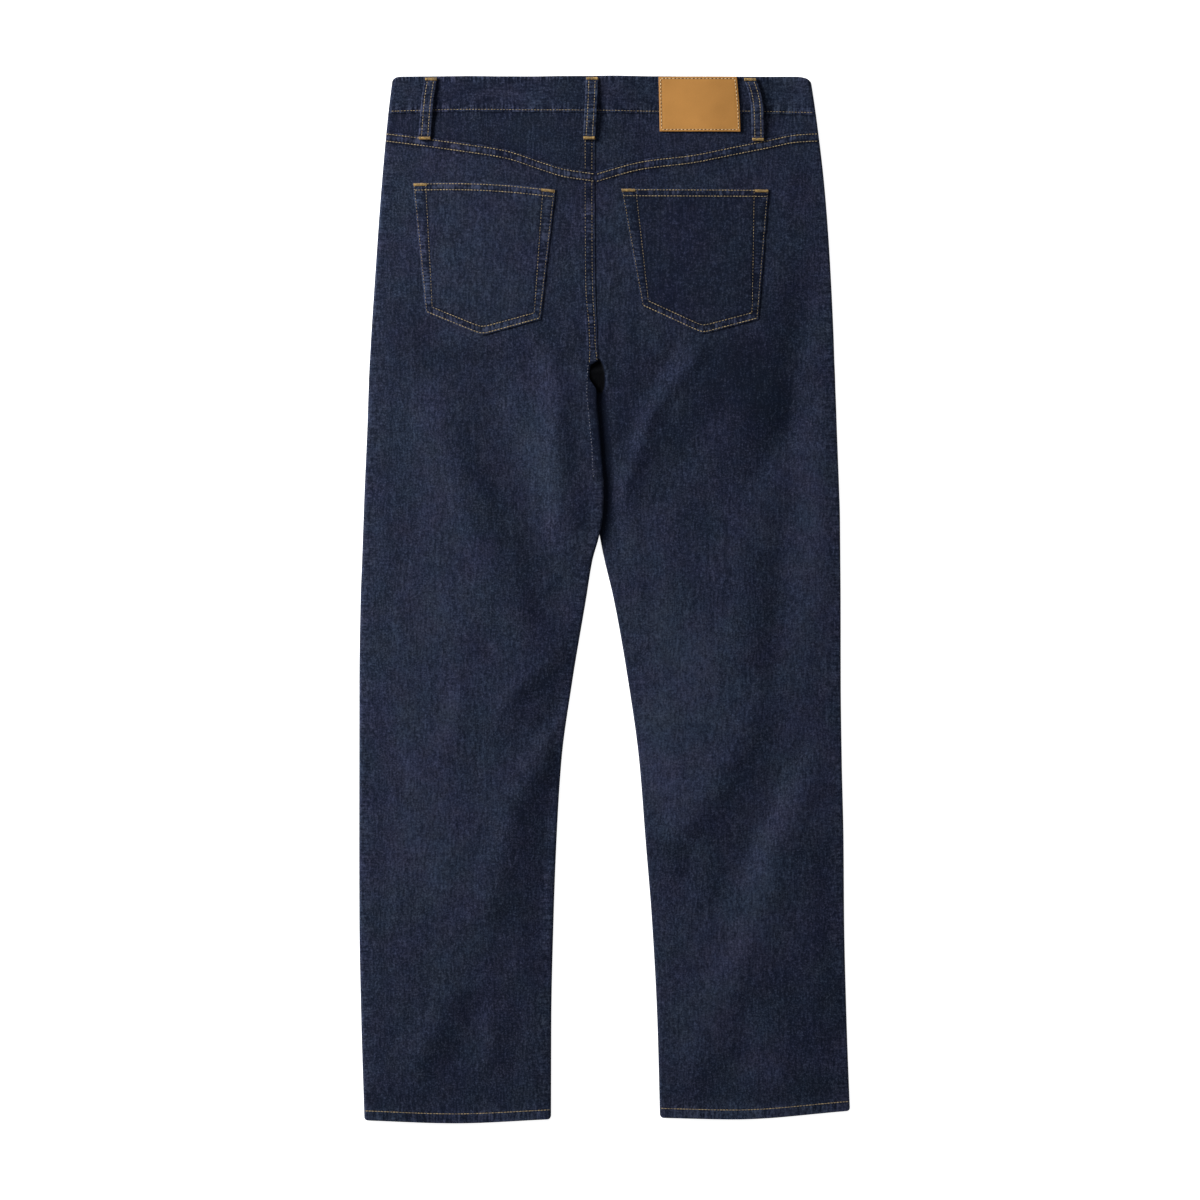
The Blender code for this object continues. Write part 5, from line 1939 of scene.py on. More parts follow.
@dataclass
class Yoke:
    """The piece between the waistband and a back panel."""

    side: Side
    shop: Workshop
    middle: int = 118
    rows: int = 30
    level: float = 60.0
    tucked: tuple[float, ...] = (2.6, 1.5, 0.9, 0.5, 0.2)  # rows under the waistband
    tuck_depth: float = 1.35
    cut_width: float = 222.0
    cut_length: float = 62.0
    mean_length: float = 38.0
    # how much painted shade darkens each yoke
    painted_shade: dict[Side, float] = field(default_factory=lambda: {Side.LEFT: 0.30, Side.RIGHT: 0.08})
    seam_rows: tuple[float, float] = (3.1, 9.8)

    def build(self) -> None:
        spread = Spread(*self.side.in_order(TURN, TURN + CENTRE_MARKS), self.middle)
        share = np.linspace(0.0, 1.0, self.rows)[:, None]
        tucked = np.array(self.tucked)[:, None]
        down = np.full((self.rows + len(tucked), spread.count), self.level)
        for _ in range(SETTLING):
            ends = self.side.in_order(SHAPE.outer(self.side, down), SHAPE.inner(self.side, down))
            x = spread.x(*ends)
            top = SHAPE.band_bottom(x) + CLOTH.gap / 2
            bottom = SHAPE.yoke_line(self.side, x) - CLOTH.gap / 2
            above, below = top[: len(tucked)], slice(len(tucked), None)
            down = np.concatenate([above - tucked, mix(top[below], bottom[below], share)])
        off = SHAPE.from_inner(self.side, x, down)
        flat = SHAPE.back_inside(self.side, x, down) + CLOTH.denim
        middle = ease((down - top) / 6) * ease((bottom - down) / 6)
        fine = 0.14 * Ripple(17.0, 13.0, 31)(x, down) + 0.08 * Ripple(6.0, 7.0, 32)(x, down)
        flat = flat + fine * middle - 0.25 * bump(down - top, 3.0)
        flat = flat - self.tuck_depth * ease((top - down) / 0.9)
        if self.side is Side.LEFT:
            flat = flat + SHAPE.fell(off) + SHAPE.grooves(off, self.seam_rows)
        edge = SHAPE.seam_height(self.side, x, down) + CLOTH.gap / 2
        rise = turn_rise(SHAPE.from_outer(self.side, x, down))
        rim = rim_share(off) if self.side is Side.LEFT else 1.0
        # A paler outer edge, painted shade over the whole yoke, and painted shadow along its lower and upper
        # edges, under the leg's fold and the waistband
        worn = 0.5 * bump(SHAPE.from_outer(self.side, x, down), 3.0) - self.painted_shade[self.side]
        worn = worn - 0.35 * bump(bottom - down, 1.6) - 0.3 * bump(down - top, 1.6)
        if self.side is Side.LEFT:
            rungs = 0.6 * Ripple(300.0, 3.4, 33)(x, down) * bump(off - 6.0, 4.0)
            worn = worn + bump(off, 1.2) * 0.8 + rungs
            # Painted shade beside the centre seam's rows
            worn = worn - 0.8 * sum(bump(off - row, 1.5) for row in self.seam_rows)
        name = self.side.value
        piece = Sheet(
            f"denim_yoke_{name}",
            (x, down, mix(edge, flat, rise)),
            CLOTH.denim,
            Facing.UP,
            self.shop.finishes.denim[Grain.DOWN],
            rim=rim,
            wear_and_shade=worn,
            seam=0.6 * bump(down - top, 5.0) - bump(off - 6.0, 5.0) * (self.side is Side.LEFT),
        ).lay()
        sewing = self.sew(piece) if self.side is Side.LEFT else []
        cut = Cut(self.cut_width, self.cut_length, self.cut_width * self.mean_length)
        self.shop.keep(piece, f"back_yoke_{name}", cut, [f"denim_front_leg_{name}"], sewing=sewing)

    def sew(self, piece: bpy.types.Object) -> Pieces:
        """The two rows down the centre seam, from the middle belt loop's end."""
        tailor = Tailor(Needle.over(piece, Facing.UP))
        for row in self.seam_rows:
            down = np.linspace(58.0, 94.5 - 0.12 * row, 16)
            tailor.row(Path.through(SHAPE.inner(self.side, down) - row, down), SUNK_STITCH)
        return self.shop.take_off(tailor, piece.name)


@dataclass
class Waistband:
    """A flattened ring of doubled denim, from the buttonhole tab round to the end under it."""

    shop: Workshop
    back_columns: int = 220
    front_columns: int = 100
    turn_columns: int = 9
    side_radius: float = 4.0
    front_top: float = 5.0
    corner_widths: tuple[float, float] = (9.0, 15.0)
    corner_drops: tuple[float, float] = (4.0, 6.0)
    row: float = 2.8
    marks: tuple[float, ...] = (0.0, 0.25, 0.8, 1.7)
    low_marks: tuple[float, ...] = (4.4, 3.6, 2.8, 2.0, 1.2, 0.5, 0.0)
    end_shares: tuple[float, ...] = (1.0, 0.55, 0.25, 0.08)  # how far the first columns are thinned
    end_thinning: float = 0.6
    level: float = 20.0  # of the buttonhole, and about the middle of the band
    cut_width: float = 896.0
    button_aside: float = 9.0
    end_inset: float = 2.6

    def ring(self) -> list[tuple[str, float]]:
        """The stretches that the columns lie on, from the tab round the back to the other end."""
        half_turn = np.linspace(-70.0, 70.0, self.turn_columns)
        front = np.linspace(0.0, 1.0, self.front_columns)
        path = [("front_left", share) for share in front]
        path += [("left_turn", math.radians(angle)) for angle in half_turn]
        path += [("back", share) for share in np.linspace(0.0, 1.0, self.back_columns)]
        path += [("right_turn", -math.radians(angle)) for angle in half_turn]
        path += [("front_right", share) for share in front]
        return path

    def section(self, stretch: str, share: float, down: Field) -> tuple[Field, Field, Field, Field]:
        """x, the outer height, and the way outwards at one column of the ring."""
        left, right = SHAPE.outer(Side.LEFT, down), SHAPE.outer(Side.RIGHT, down)
        low, high = left + self.side_radius, right - self.side_radius
        zero, one = np.zeros(down.shape), np.ones(down.shape)
        if stretch == "back":
            x = mix(low, high, share)
            return x, SHAPE.band_inside(x) + CLOTH.band + self.puckers(x, down), zero, one
        if stretch == "front_left":
            x = mix(SHAPE.centre(0) + SHAPE.tab_end, low, share)
            return x, SHAPE.band_lift(x), zero, -one
        if stretch == "front_right":
            x = mix(high, SHAPE.centre(0) - SHAPE.under_end, share)
            under = (CLOTH.band + CLOTH.gap) * SHAPE.under_lift(x, 0)
            return x, SHAPE.band_lift(x) + under, zero, -one
        middle = (SHAPE.band_inside(low) + CLOTH.band) / 2
        outwards = -1 if stretch == "left_turn" else 1
        edge = low if outwards < 0 else high
        x = edge + outwards * self.side_radius * math.cos(share)
        height = middle + middle * math.sin(share)
        return x, height, one * outwards * math.cos(share), one * math.sin(share)

    def puckers(self, x: Field, down: Field) -> Field:
        """The unevenness of the doubled cloth, and the groove along its row of stitches."""
        fine = 0.16 * Ripple(13.0, 15.0, 41)(x, down) + 0.10 * Ripple(5.0, 9.0, 42)(x, down)
        along = Ripple(5.5, 500.0, 43)(x, down) * bump(SHAPE.band_bottom(x) - down - 1.5, 3.5)
        in_row = SHAPE.grooves(SHAPE.band_bottom(x) - down, (self.row,)) * 1.4
        return fine * ease((down - 1) / 5) + 0.12 * along + in_row

    def top_edge(self, stretch: str, x: float) -> float:
        """The level of the band's upper edge, which is lower on the front and at its corners."""
        if stretch.startswith("front"):
            return self.front_top
        left, right = SHAPE.outer(Side.LEFT, self.level), SHAPE.outer(Side.RIGHT, self.level)
        on_right = int(right - x < x - left)
        to_flat = 1 - min(max(min(x - left, right - x) / self.corner_widths[on_right], 0.0), 1.0)
        drop = self.corner_drops[on_right] * (1 - math.sqrt(1 - to_flat**2))
        return drop + 0.35 * float(Ripple(38.0, 38.0, 44)(x, 0.0)) + 0.35

    def build(self) -> None:
        path = self.ring()
        between = np.linspace(0.0, 1.0, 15)
        columns = []
        for stretch, share in path:
            at, _, _, _ = self.section(stretch, share, np.array([self.level]))
            top = self.top_edge(stretch, float(at[0]))
            bottom = float(SHAPE.band_bottom(at)[0]) - CLOTH.gap
            first, last = top + self.marks[-1], bottom - self.low_marks[0]
            inner = mix(first, last, between)[1:-1]
            down = np.concatenate([top + np.array(self.marks), inner, bottom - np.array(self.low_marks)])
            x, height, out_x, out_z = self.section(stretch, share, down)
            rim = rim_share(down - top, 1.5, 0.25) * rim_share(bottom - down, EDGE_ROUND, 0.4)
            inwards = CLOTH.band * (1 - rim) / 2
            columns.append((x - out_x * inwards, down, height - out_z * inwards, rim))
        x, down, height, rim = (np.array(part).T for part in zip(*columns))
        ends = np.zeros(len(path))
        ends[: len(self.end_shares)] = ends[: -len(self.end_shares) - 1 : -1] = self.end_shares
        rim = rim * (1 - self.end_thinning * ends)
        worn = bump(down - down[0], 1.8) + 0.5 * bump(down[-1] - down, 1.2)
        worn = worn * patchy(x, down, 8.0, 45)
        # Darker overall, paler towards the right end, and uneven at random
        worn = worn - 0.14 + 0.16 * ease((x - 90) / 70) + 0.2 * Ripple(30.0, 30.0, 46)(x, down)
        # The ring runs against the clock from above, so its outer face is the grid's upper one.
        piece = Sheet(
            "denim_waistband",
            (x, down, height),
            CLOTH.band,
            Facing.UP,
            self.shop.finishes.denim[Grain.ACROSS],
            layers=rim,
            wear_and_shade=worn,
            seam=0.9 * bump(down - down[0] - 1.0, 4.0) + 0.9 * bump(down[-1] - down - 2.0, 5.0) + 0.2,
        ).lay()
        cut = Cut(self.cut_width, SHAPE.band_depth)
        legs = [f"denim_front_leg_{side.value}" for side in Side]
        self.shop.keep(piece, "waistband", cut, legs, sewing=self.sew(piece))

    def sew(self, piece: bpy.types.Object) -> Pieces:
        """The row along the lower edge, on the back and on the front."""
        above, below = Tailor(Needle.over(piece, Facing.UP)), Tailor(Needle.over(piece, Facing.DOWN))
        x = np.linspace(-213.5, 208.5, 120)
        above.row(Path.through(x, SHAPE.band_bottom(x) - self.row), BAND_STITCH)
        tab = SHAPE.centre(0) + SHAPE.tab_end
        end = tab - self.end_inset
        for x in (np.linspace(-212.0, end, 60), np.linspace(tab + 2.0, 207.5, 60)):
            below.row(Path.through(x, SHAPE.band_bottom(x) - self.row))
        down = np.linspace(self.front_top + 2.5, 35.0, 12)
        below.row(Path.through(np.full(12, end), down))
        self.sew_buttonhole(below)
        made = self.shop.take_off(above, "denim_waistband_back")
        return made + self.shop.take_off(below, "denim_waistband_front")

    def sew_buttonhole(self, tailor: Tailor) -> None:
        """Close threads round the long buttonhole, which the button's head half covers."""
        middle = SHAPE.centre(0) - self.button_aside
        for level in (self.level - 1.7, self.level + 1.7):
            tailor.bartack(Mark(middle - 9.0, level), Mark(middle + 10.0, level), 2.4, 0.6)


@dataclass
class BackPocket:
    """A patch pocket, with two rows of stitches along each edge."""

    side: Side
    shop: Workshop
    middle: int = 62
    rows: int = 66
    edge_row: float = 1.5
    # painted shade on the right pocket, and painted light (below 0) on the left one
    painted_shade: dict[Side, float] = field(default_factory=lambda: {Side.LEFT: -0.11, Side.RIGHT: 0.34})
    top_rows: tuple[float, float] = (1.4, 7.4)
    bottom_rows: tuple[float, float] = (1.6, 8.2)
    high_marks: tuple[float, ...] = (0.0, 0.3, 0.8, 1.4, 2.2, 3.6, 5.2, 6.5, 7.4, 8.3, 10.0)
    low_marks: tuple[float, ...] = (10.6, 9.1, 8.2, 7.3, 5.6, 3.8, 2.4, 1.6, 0.8, 0.3, 0.0)
    side_marks: tuple[float, ...] = (0.0, 0.3, 0.8, 1.5, 2.4)
    row_half: float = 0.9  # from a row of stitches to the columns beside it
    bluntness: float = 1.4  # how round the lower point is
    tack_down: float = 1.9
    tack_ends: tuple[float, float] = (1.2, 14.0)
    cut_width: float = 148.0
    cut_length: float = 153.0
    cut_area: float = 143.0 * 140.0
    side_points: int = 30

    def __post_init__(self) -> None:
        """Looks up the pocket's corners."""
        self.cut = POCKETS[self.side]

    def edge_x(self, top: Mark, bottom: Mark, down: Field) -> Field:
        """The x of a side edge."""
        return mix(top.x, bottom.x, (down - top.down) / (bottom.down - top.down))

    def top_down(self, x: Field) -> Field:
        """The level of the top edge."""
        share = (x - self.cut.top_left.x) / (self.cut.top_right.x - self.cut.top_left.x)
        line = mix(self.cut.top_left.down, self.cut.top_right.down, share)
        return line - self.cut.bow * np.sin(math.pi * np.clip(share, 0.0, 1.0))

    def bottom_down(self, x: Field) -> Field:
        """The level of the bottom edge, with its rounded point."""
        left, tip, right = self.cut.bottom_left, self.cut.point, self.cut.bottom_right
        first = mix(left.down, tip.down, (x - left.x) / (tip.x - left.x))
        second = mix(tip.down, right.down, (x - tip.x) / (right.x - tip.x))
        blunt = self.bluntness
        return -blunt * np.log(np.exp(-first / blunt) + np.exp(-second / blunt))

    def inner_row(self, down: Field) -> Field:
        """The distance of a side's inner row of stitches from its edge."""
        depth = (down - self.cut.top_left.down) / (self.cut.bottom_left.down - self.cut.top_left.down)
        return self.edge_row + mix(self.cut.row_top, self.cut.row_bottom, np.clip(depth, 0.0, 1.0))

    def grid(self) -> tuple[Field, Field, Field, Field]:
        """The vertices' places, and their distances from the left and right edges."""
        high, low = np.array(self.high_marks)[:, None], np.array(self.low_marks)[:, None]
        fixed = np.array(self.side_marks)
        between = np.linspace(0.0, 1.0, self.rows)[1:-1, None]
        inner = np.arange(1, self.middle + 1) / (self.middle + 1)
        count = len(high) + len(between) + len(low)
        side = len(fixed) + 4
        inside = slice(len(high), -len(low))
        x = np.full((count, 2 * side + self.middle), (self.cut.top_left.x + self.cut.top_right.x) / 2)
        for _ in range(SETTLING + 1):
            top, bottom = self.top_down(x), self.bottom_down(x)
            level = mix((top + high[-1])[inside], (bottom - low[0])[inside], between)
            down = np.concatenate([top[: len(high)] + high, level, bottom[-len(low) :] - low])
            row = self.inner_row(down[:, :1])
            beside = [mix(fixed[-1], row, 0.5), row - self.row_half, row, row + self.row_half]
            marks = np.concatenate([fixed + row * 0, *beside], axis=1)
            left = self.edge_x(self.cut.top_left, self.cut.bottom_left, down)
            right = self.edge_x(self.cut.top_right, self.cut.bottom_right, down)
            first, last = (left + marks[:, -1:])[:, side:-side], (right - marks[:, -1:])[:, side:-side]
            parts = [left[:, :side] + marks, mix(first, last, inner), right[:, -side:] - marks[:, ::-1]]
            x = np.concatenate(parts, axis=1)
        return x, down, x - left, right - x

    def build(self) -> None:
        x, down, off_left, off_right = self.grid()
        from_top, to_bottom = down - self.top_down(x), self.bottom_down(x) - down
        off_side = np.minimum(off_left, off_right)
        sewn = np.minimum(off_side, to_bottom)
        nearest = np.minimum(sewn, from_top)
        base = SHAPE.back_outside(self.side, x, down) + 1.5 * CLOTH.gap + CLOTH.denim
        puff = 0.45 * ease((sewn - 4) / 30) - 0.35 * (1 - ease(sewn / 3.5))
        fine = 0.13 * Ripple(19.0, 27.0, 51)(x, down) + 0.08 * Ripple(7.0, 10.0, 52)(x, down)
        rows = SHAPE.grooves(off_side, (self.edge_row,))
        rows = rows + SHAPE.grooves(off_side - self.inner_row(down), (0.0,))
        rows = rows + SHAPE.grooves(from_top, self.top_rows) + SHAPE.grooves(to_bottom, self.bottom_rows)
        seam = Ripple(5.5, 5.5, 53)(x, down) * bump(nearest - 4.5, 4.5)
        height = base + puff + fine * ease(nearest / 8) + np.maximum(rows, -0.4) + 0.24 * seam
        worn = (bump(nearest, 1.1) + 0.3 * bump(nearest - 4.5, 2.2)) * patchy(x, down, 7.0, 54)
        # Painted shade over the right pocket, painted light over the left one
        worn = worn - self.painted_shade[self.side]
        worn = worn + 0.5 * seam + 0.10 * Ripple(26.0, 60.0, 55)(x, down)
        # Painted shade beside the inner rows of stitches
        inner_rows = bump(off_side - self.inner_row(down), 1.5) + bump(from_top - self.top_rows[1], 1.5)
        worn = worn - 0.65 * np.maximum(inner_rows, bump(to_bottom - self.bottom_rows[1], 1.5))
        way = np.where(off_side < np.minimum(to_bottom, from_top), -1.0, 1.0)
        name = self.side.value
        piece = Sheet(
            f"denim_back_pocket_{name}",
            (x, down, height),
            CLOTH.denim,
            Facing.UP,
            self.shop.finishes.denim[Grain.DOWN],
            rim=rim_share(nearest, SMALL_ROUND),
            wear_and_shade=worn,
            seam=bump(nearest - 4.5, 4.5) * way,
        ).lay()
        cut = Cut(self.cut_width, self.cut_length, self.cut_area)
        leg = [f"denim_back_leg_{name}"]
        self.shop.keep(piece, f"back_pocket_{name}", cut, leg, sewing=self.sew(piece))

    def sew(self, piece: bpy.types.Object) -> Pieces:
        """Two rows along every edge, and a bartack at each top corner."""
        tailor = Tailor(Needle.over(piece, Facing.UP))
        cut = self.cut
        for row in self.top_rows:
            inset = self.edge_row + 0.1 * row
            x = np.linspace(cut.top_left.x + inset, cut.top_right.x - inset, 40)
            tailor.row(Path.through(x, self.top_down(x) + row))
        for inner in (False, True):
            self.sew_round(tailor, inner)
        for corner, inwards in ((cut.top_left, 1), (cut.top_right, -1)):
            places = [corner.x + inwards * end for end in self.tack_ends]
            ends = [Mark(x, float(self.top_down(np.array(x))) + self.tack_down) for x in places]
            tailor.bartack(*ends, width=2.8)
        return self.shop.take_off(tailor, piece.name)

    def sew_round(self, tailor: Tailor, inner: bool) -> None:
        """A row down one side, along the point and up the other side.

        Args:
            tailor: Who sews.
            inner: Whether it is the inner of the two rows.
        """
        cut = self.cut
        from_bottom = self.bottom_rows[inner]
        sides = []
        for top, bottom, inwards in (
            (cut.top_left, cut.bottom_left, 1),
            (cut.top_right, cut.bottom_right, -1),
        ):
            inset = self.inner_row(bottom.down) if inner else self.edge_row
            corner = self.edge_x(top, bottom, bottom.down) + inwards * inset
            end = self.bottom_down(corner) - from_bottom
            down = np.linspace(top.down + 2.0, end, self.side_points)
            inset = self.inner_row(down) if inner else self.edge_row
            sides.append((self.edge_x(top, bottom, down) + inwards * inset, down))
        x = np.linspace(sides[0][0][-1], sides[1][0][-1], 60)
        along_bottom = (x, self.bottom_down(x) - from_bottom)
        rows = ((sides[0], SUNK_STITCH), (along_bottom, TOPSTITCH), (sides[1], SUNK_STITCH))
        for part, stitch in rows:
            tailor.row(Path.through(*part), stitch)


@dataclass
class PocketFacing:
    """The piece of denim that shows inside a front pocket's scooped opening."""

    side: Side
    shop: Workshop
    lap: float = 18.0  # how far it reaches in past the scoop
    columns: int = 46
    rows: int = 40
    low_rows: int = 10
    cut_width: float = 130.0
    cut_length: float = 104.0
    cut_area: float = 8600.0

    def build(self) -> None:
        inwards = -self.side.sign
        high, low = np.linspace(0, 78, self.rows - self.low_rows), np.linspace(80, 102, self.low_rows)
        marks = np.concatenate([high, low])[:, None]
        spread = Spread(*self.side.in_order(TURN, (0.0, 0.6)), self.columns)
        x = np.full((self.rows, spread.count), SHAPE.outer(self.side, 60.0))
        for _ in range(SETTLING):
            down = SHAPE.band_bottom(x) + CLOTH.gap / 2 + marks
            tucked = ease((down - SHAPE.scoop_end + 8) / 7)
            outer = SHAPE.outer(self.side, down) + inwards * 6 * tucked
            inner = SHAPE.outer(self.side, down) + inwards * (SHAPE.scoop(down) + self.lap)
            x = spread.x(*self.side.in_order(outer, inner))
        fine = 0.12 * Ripple(14.0, 17.0, 61)(x, down) * ease(np.abs(x - outer) / 8)
        flat = SHAPE.front_outside(self.side, x, down) + CLOTH.denim + 1.5 * CLOTH.gap + fine
        edge = SHAPE.front_seam_height(self.side, x, down)
        rise = mix(1.0, turn_rise(np.abs(x - outer)), 1 - tucked)
        name = self.side.value
        piece = Sheet(
            f"denim_pocket_facing_{name}",
            (x, down, mix(edge, flat, rise)),
            CLOTH.denim,
            Facing.DOWN,
            self.shop.finishes.denim[Grain.DOWN],
            rim=rim_share(down - down[0], SMALL_ROUND),
        ).lay()
        cut = Cut(self.cut_width, self.cut_length, self.cut_area)
        self.shop.keep(piece, f"front_pocket_facing_{name}", cut, [f"denim_front_leg_{name}"])


@dataclass
class Loop:
    """A belt loop: a strip folded in three, tacked down at both ends."""

    shop: Workshop
    width: float = 12.4
    row: float = 3.1  # from the middle to each row of stitches

    def profile(self) -> Field:
        """The columns' distances from the middle."""
        half = self.width / 2
        side = np.array([half, half - 0.2, half - 0.6, half - 1.3, 4.0, self.row, 2.2, 1.1])
        return np.concatenate([-side, [0.0], side[::-1]])[None, :]


@dataclass(kw_only=True)
class BackLoop(Loop):
    """A belt loop on the back, over the waistband and the yokes."""

    where: str
    belt_room: float = 1.5
    rows: int = 72
    tack_length: float = 11.0
    flat_length: float = 66.0

    def middle(self) -> SmoothCurve:
        """The x of the loop's middle line."""
        marks = BACK_LOOPS[self.where]
        return SmoothCurve([m.down for m in marks], [m.x for m in marks])

    def build(self) -> None:
        marks = BACK_LOOPS[self.where]
        middle = self.middle()
        share = np.linspace(0.0, 1.0, self.rows)[:, None]
        across = self.profile()
        down = mix(marks[0].down, marks[-1].down, share) + 0 * across
        line = middle(down)
        reach = self.width / 2 + 1
        under = SHAPE.highest_near(line[:, :1], down[:, :1], reach, 5.0)
        smooth = np.convolve(np.pad(under[:, 0], 4, "edge"), np.ones(9) / 9, "valid")[:, None]
        under = np.maximum(smooth, under - 0.25)
        lift = np.sin(math.pi * np.clip((share - 0.06) / 0.88, 0.0, 1.0)) ** 0.7
        off_row = np.abs(np.abs(across) - self.row)
        puff = 0.22 * (1 - bump(off_row, 0.9)) - 0.2 * bump(np.abs(across) - self.width / 2, 0.9)
        seed = 70 + list(BACK_LOOPS).index(self.where)
        fine = 0.12 * Ripple(5.0, 6.5, seed)(across * np.ones(down.shape), down)
        height = under + CLOTH.gap + self.belt_room * lift + CLOTH.loop + puff + fine - 0.15
        pinch = 1 - 0.05 * bump((down - marks[-1].down + 1.5), 3.0)
        off_side = self.width / 2 - np.abs(across) + 0 * down
        off_end = np.minimum(down - marks[0].down, marks[-1].down - down)
        worn = bump(off_side, 1.2) * (0.7 + 0.3 * Ripple(6.0, 6.0, 74)(across * 9, down))
        piece = Sheet(
            f"denim_belt_loop_back_{self.where}",
            (line + across * pinch, down, height),
            CLOTH.loop,
            Facing.UP,
            self.shop.finishes.denim[Grain.DOWN],
            rim=rim_share(off_side, SMALL_ROUND) * rim_share(off_end, SMALL_ROUND),
            wear_and_shade=worn,
            seam=-0.8,
        ).lay()
        cut = Cut(self.width, self.flat_length)
        node = f"belt_loop_back_{self.where}"
        self.shop.keep(piece, node, cut, ["denim_waistband"], sewing=self.sew(piece))

    def sew(self, piece: bpy.types.Object) -> Pieces:
        """The loop's own two rows, and the bartacks that hold its ends."""
        tailor = Tailor(Needle.over(piece, Facing.UP))
        marks = BACK_LOOPS[self.where]
        middle = self.middle()
        down = np.linspace(marks[0].down + 4.0, marks[-1].down - 4.0, 30)
        for side in (-1, 1):
            tailor.row(Path.through(middle(down) + side * self.row, down), LOOP_STITCH)
        for level in (marks[0].down + 1.9, marks[-1].down - 2.0):
            x = float(middle(level))
            half = self.tack_length / 2
            tailor.bartack(Mark(x - half, level), Mark(x + half, level), 2.9)
        return self.shop.take_off(tailor, piece.name)


@dataclass(kw_only=True)
class FrontLoop(Loop):
    """A belt loop on the front, between the waistband and the surface."""

    side: Side
    offset: float = 105.0
    top: float = 5.0
    bottom: float = 63.0
    rows: int = 48
    tack_half: float = 5.6
    flat_length: float = 60.0

    def build(self) -> None:
        middle = SHAPE.centre(0) + self.offset * self.side.sign
        share = np.linspace(0.0, 1.0, self.rows)[:, None]
        across = self.profile()
        down = mix(self.top, self.bottom, share) + 0 * across
        x = middle + across + 0 * down
        on_leg = SHAPE.front_outside(self.side, x, np.maximum(down + 6, 38))
        over = np.where(down > 30, on_leg, SHAPE.band_lift(x))
        height = np.clip(over - CLOTH.gap - CLOTH.loop, 0.0, SHAPE.band_lift_height)
        height = height * (1 - np.sin(math.pi * share) ** 0.5)
        groove = 0.18 * bump(np.abs(across) - self.row, 0.9)
        off_side = self.width / 2 - np.abs(across) + 0 * down
        off_end = np.minimum(down - self.top, self.bottom - down)
        name = f"denim_belt_loop_front_{self.side.value}"
        piece = Sheet(
            name,
            (x, down, height + groove),
            CLOTH.loop,
            Facing.DOWN,
            self.shop.finishes.denim[Grain.DOWN],
            rim=rim_share(off_side, SMALL_ROUND) * rim_share(off_end, SMALL_ROUND),
            wear_and_shade=bump(off_side, 1.2),
        ).lay()
        tailor = Tailor(Needle.over(piece, Facing.DOWN))
        level = np.linspace(self.top + 4.0, self.bottom - 4.0, 20)
        for way in (-1, 1):
            x = np.full(len(level), middle + way * self.row)
            tailor.row(Path.through(x, level), UNDER_LOOP_STITCH)
        for end in (self.top + 2.0, self.bottom - 2.0):
            tailor.bartack(Mark(middle - self.tack_half, end), Mark(middle + self.tack_half, end), 2.8)
        sewing = self.shop.take_off(tailor, name)
        node = f"belt_loop_front_{self.side.value}"
        cut = Cut(self.width, self.flat_length)
        self.shop.keep(piece, node, cut, [self.shop.floor.name], sewing=sewing)


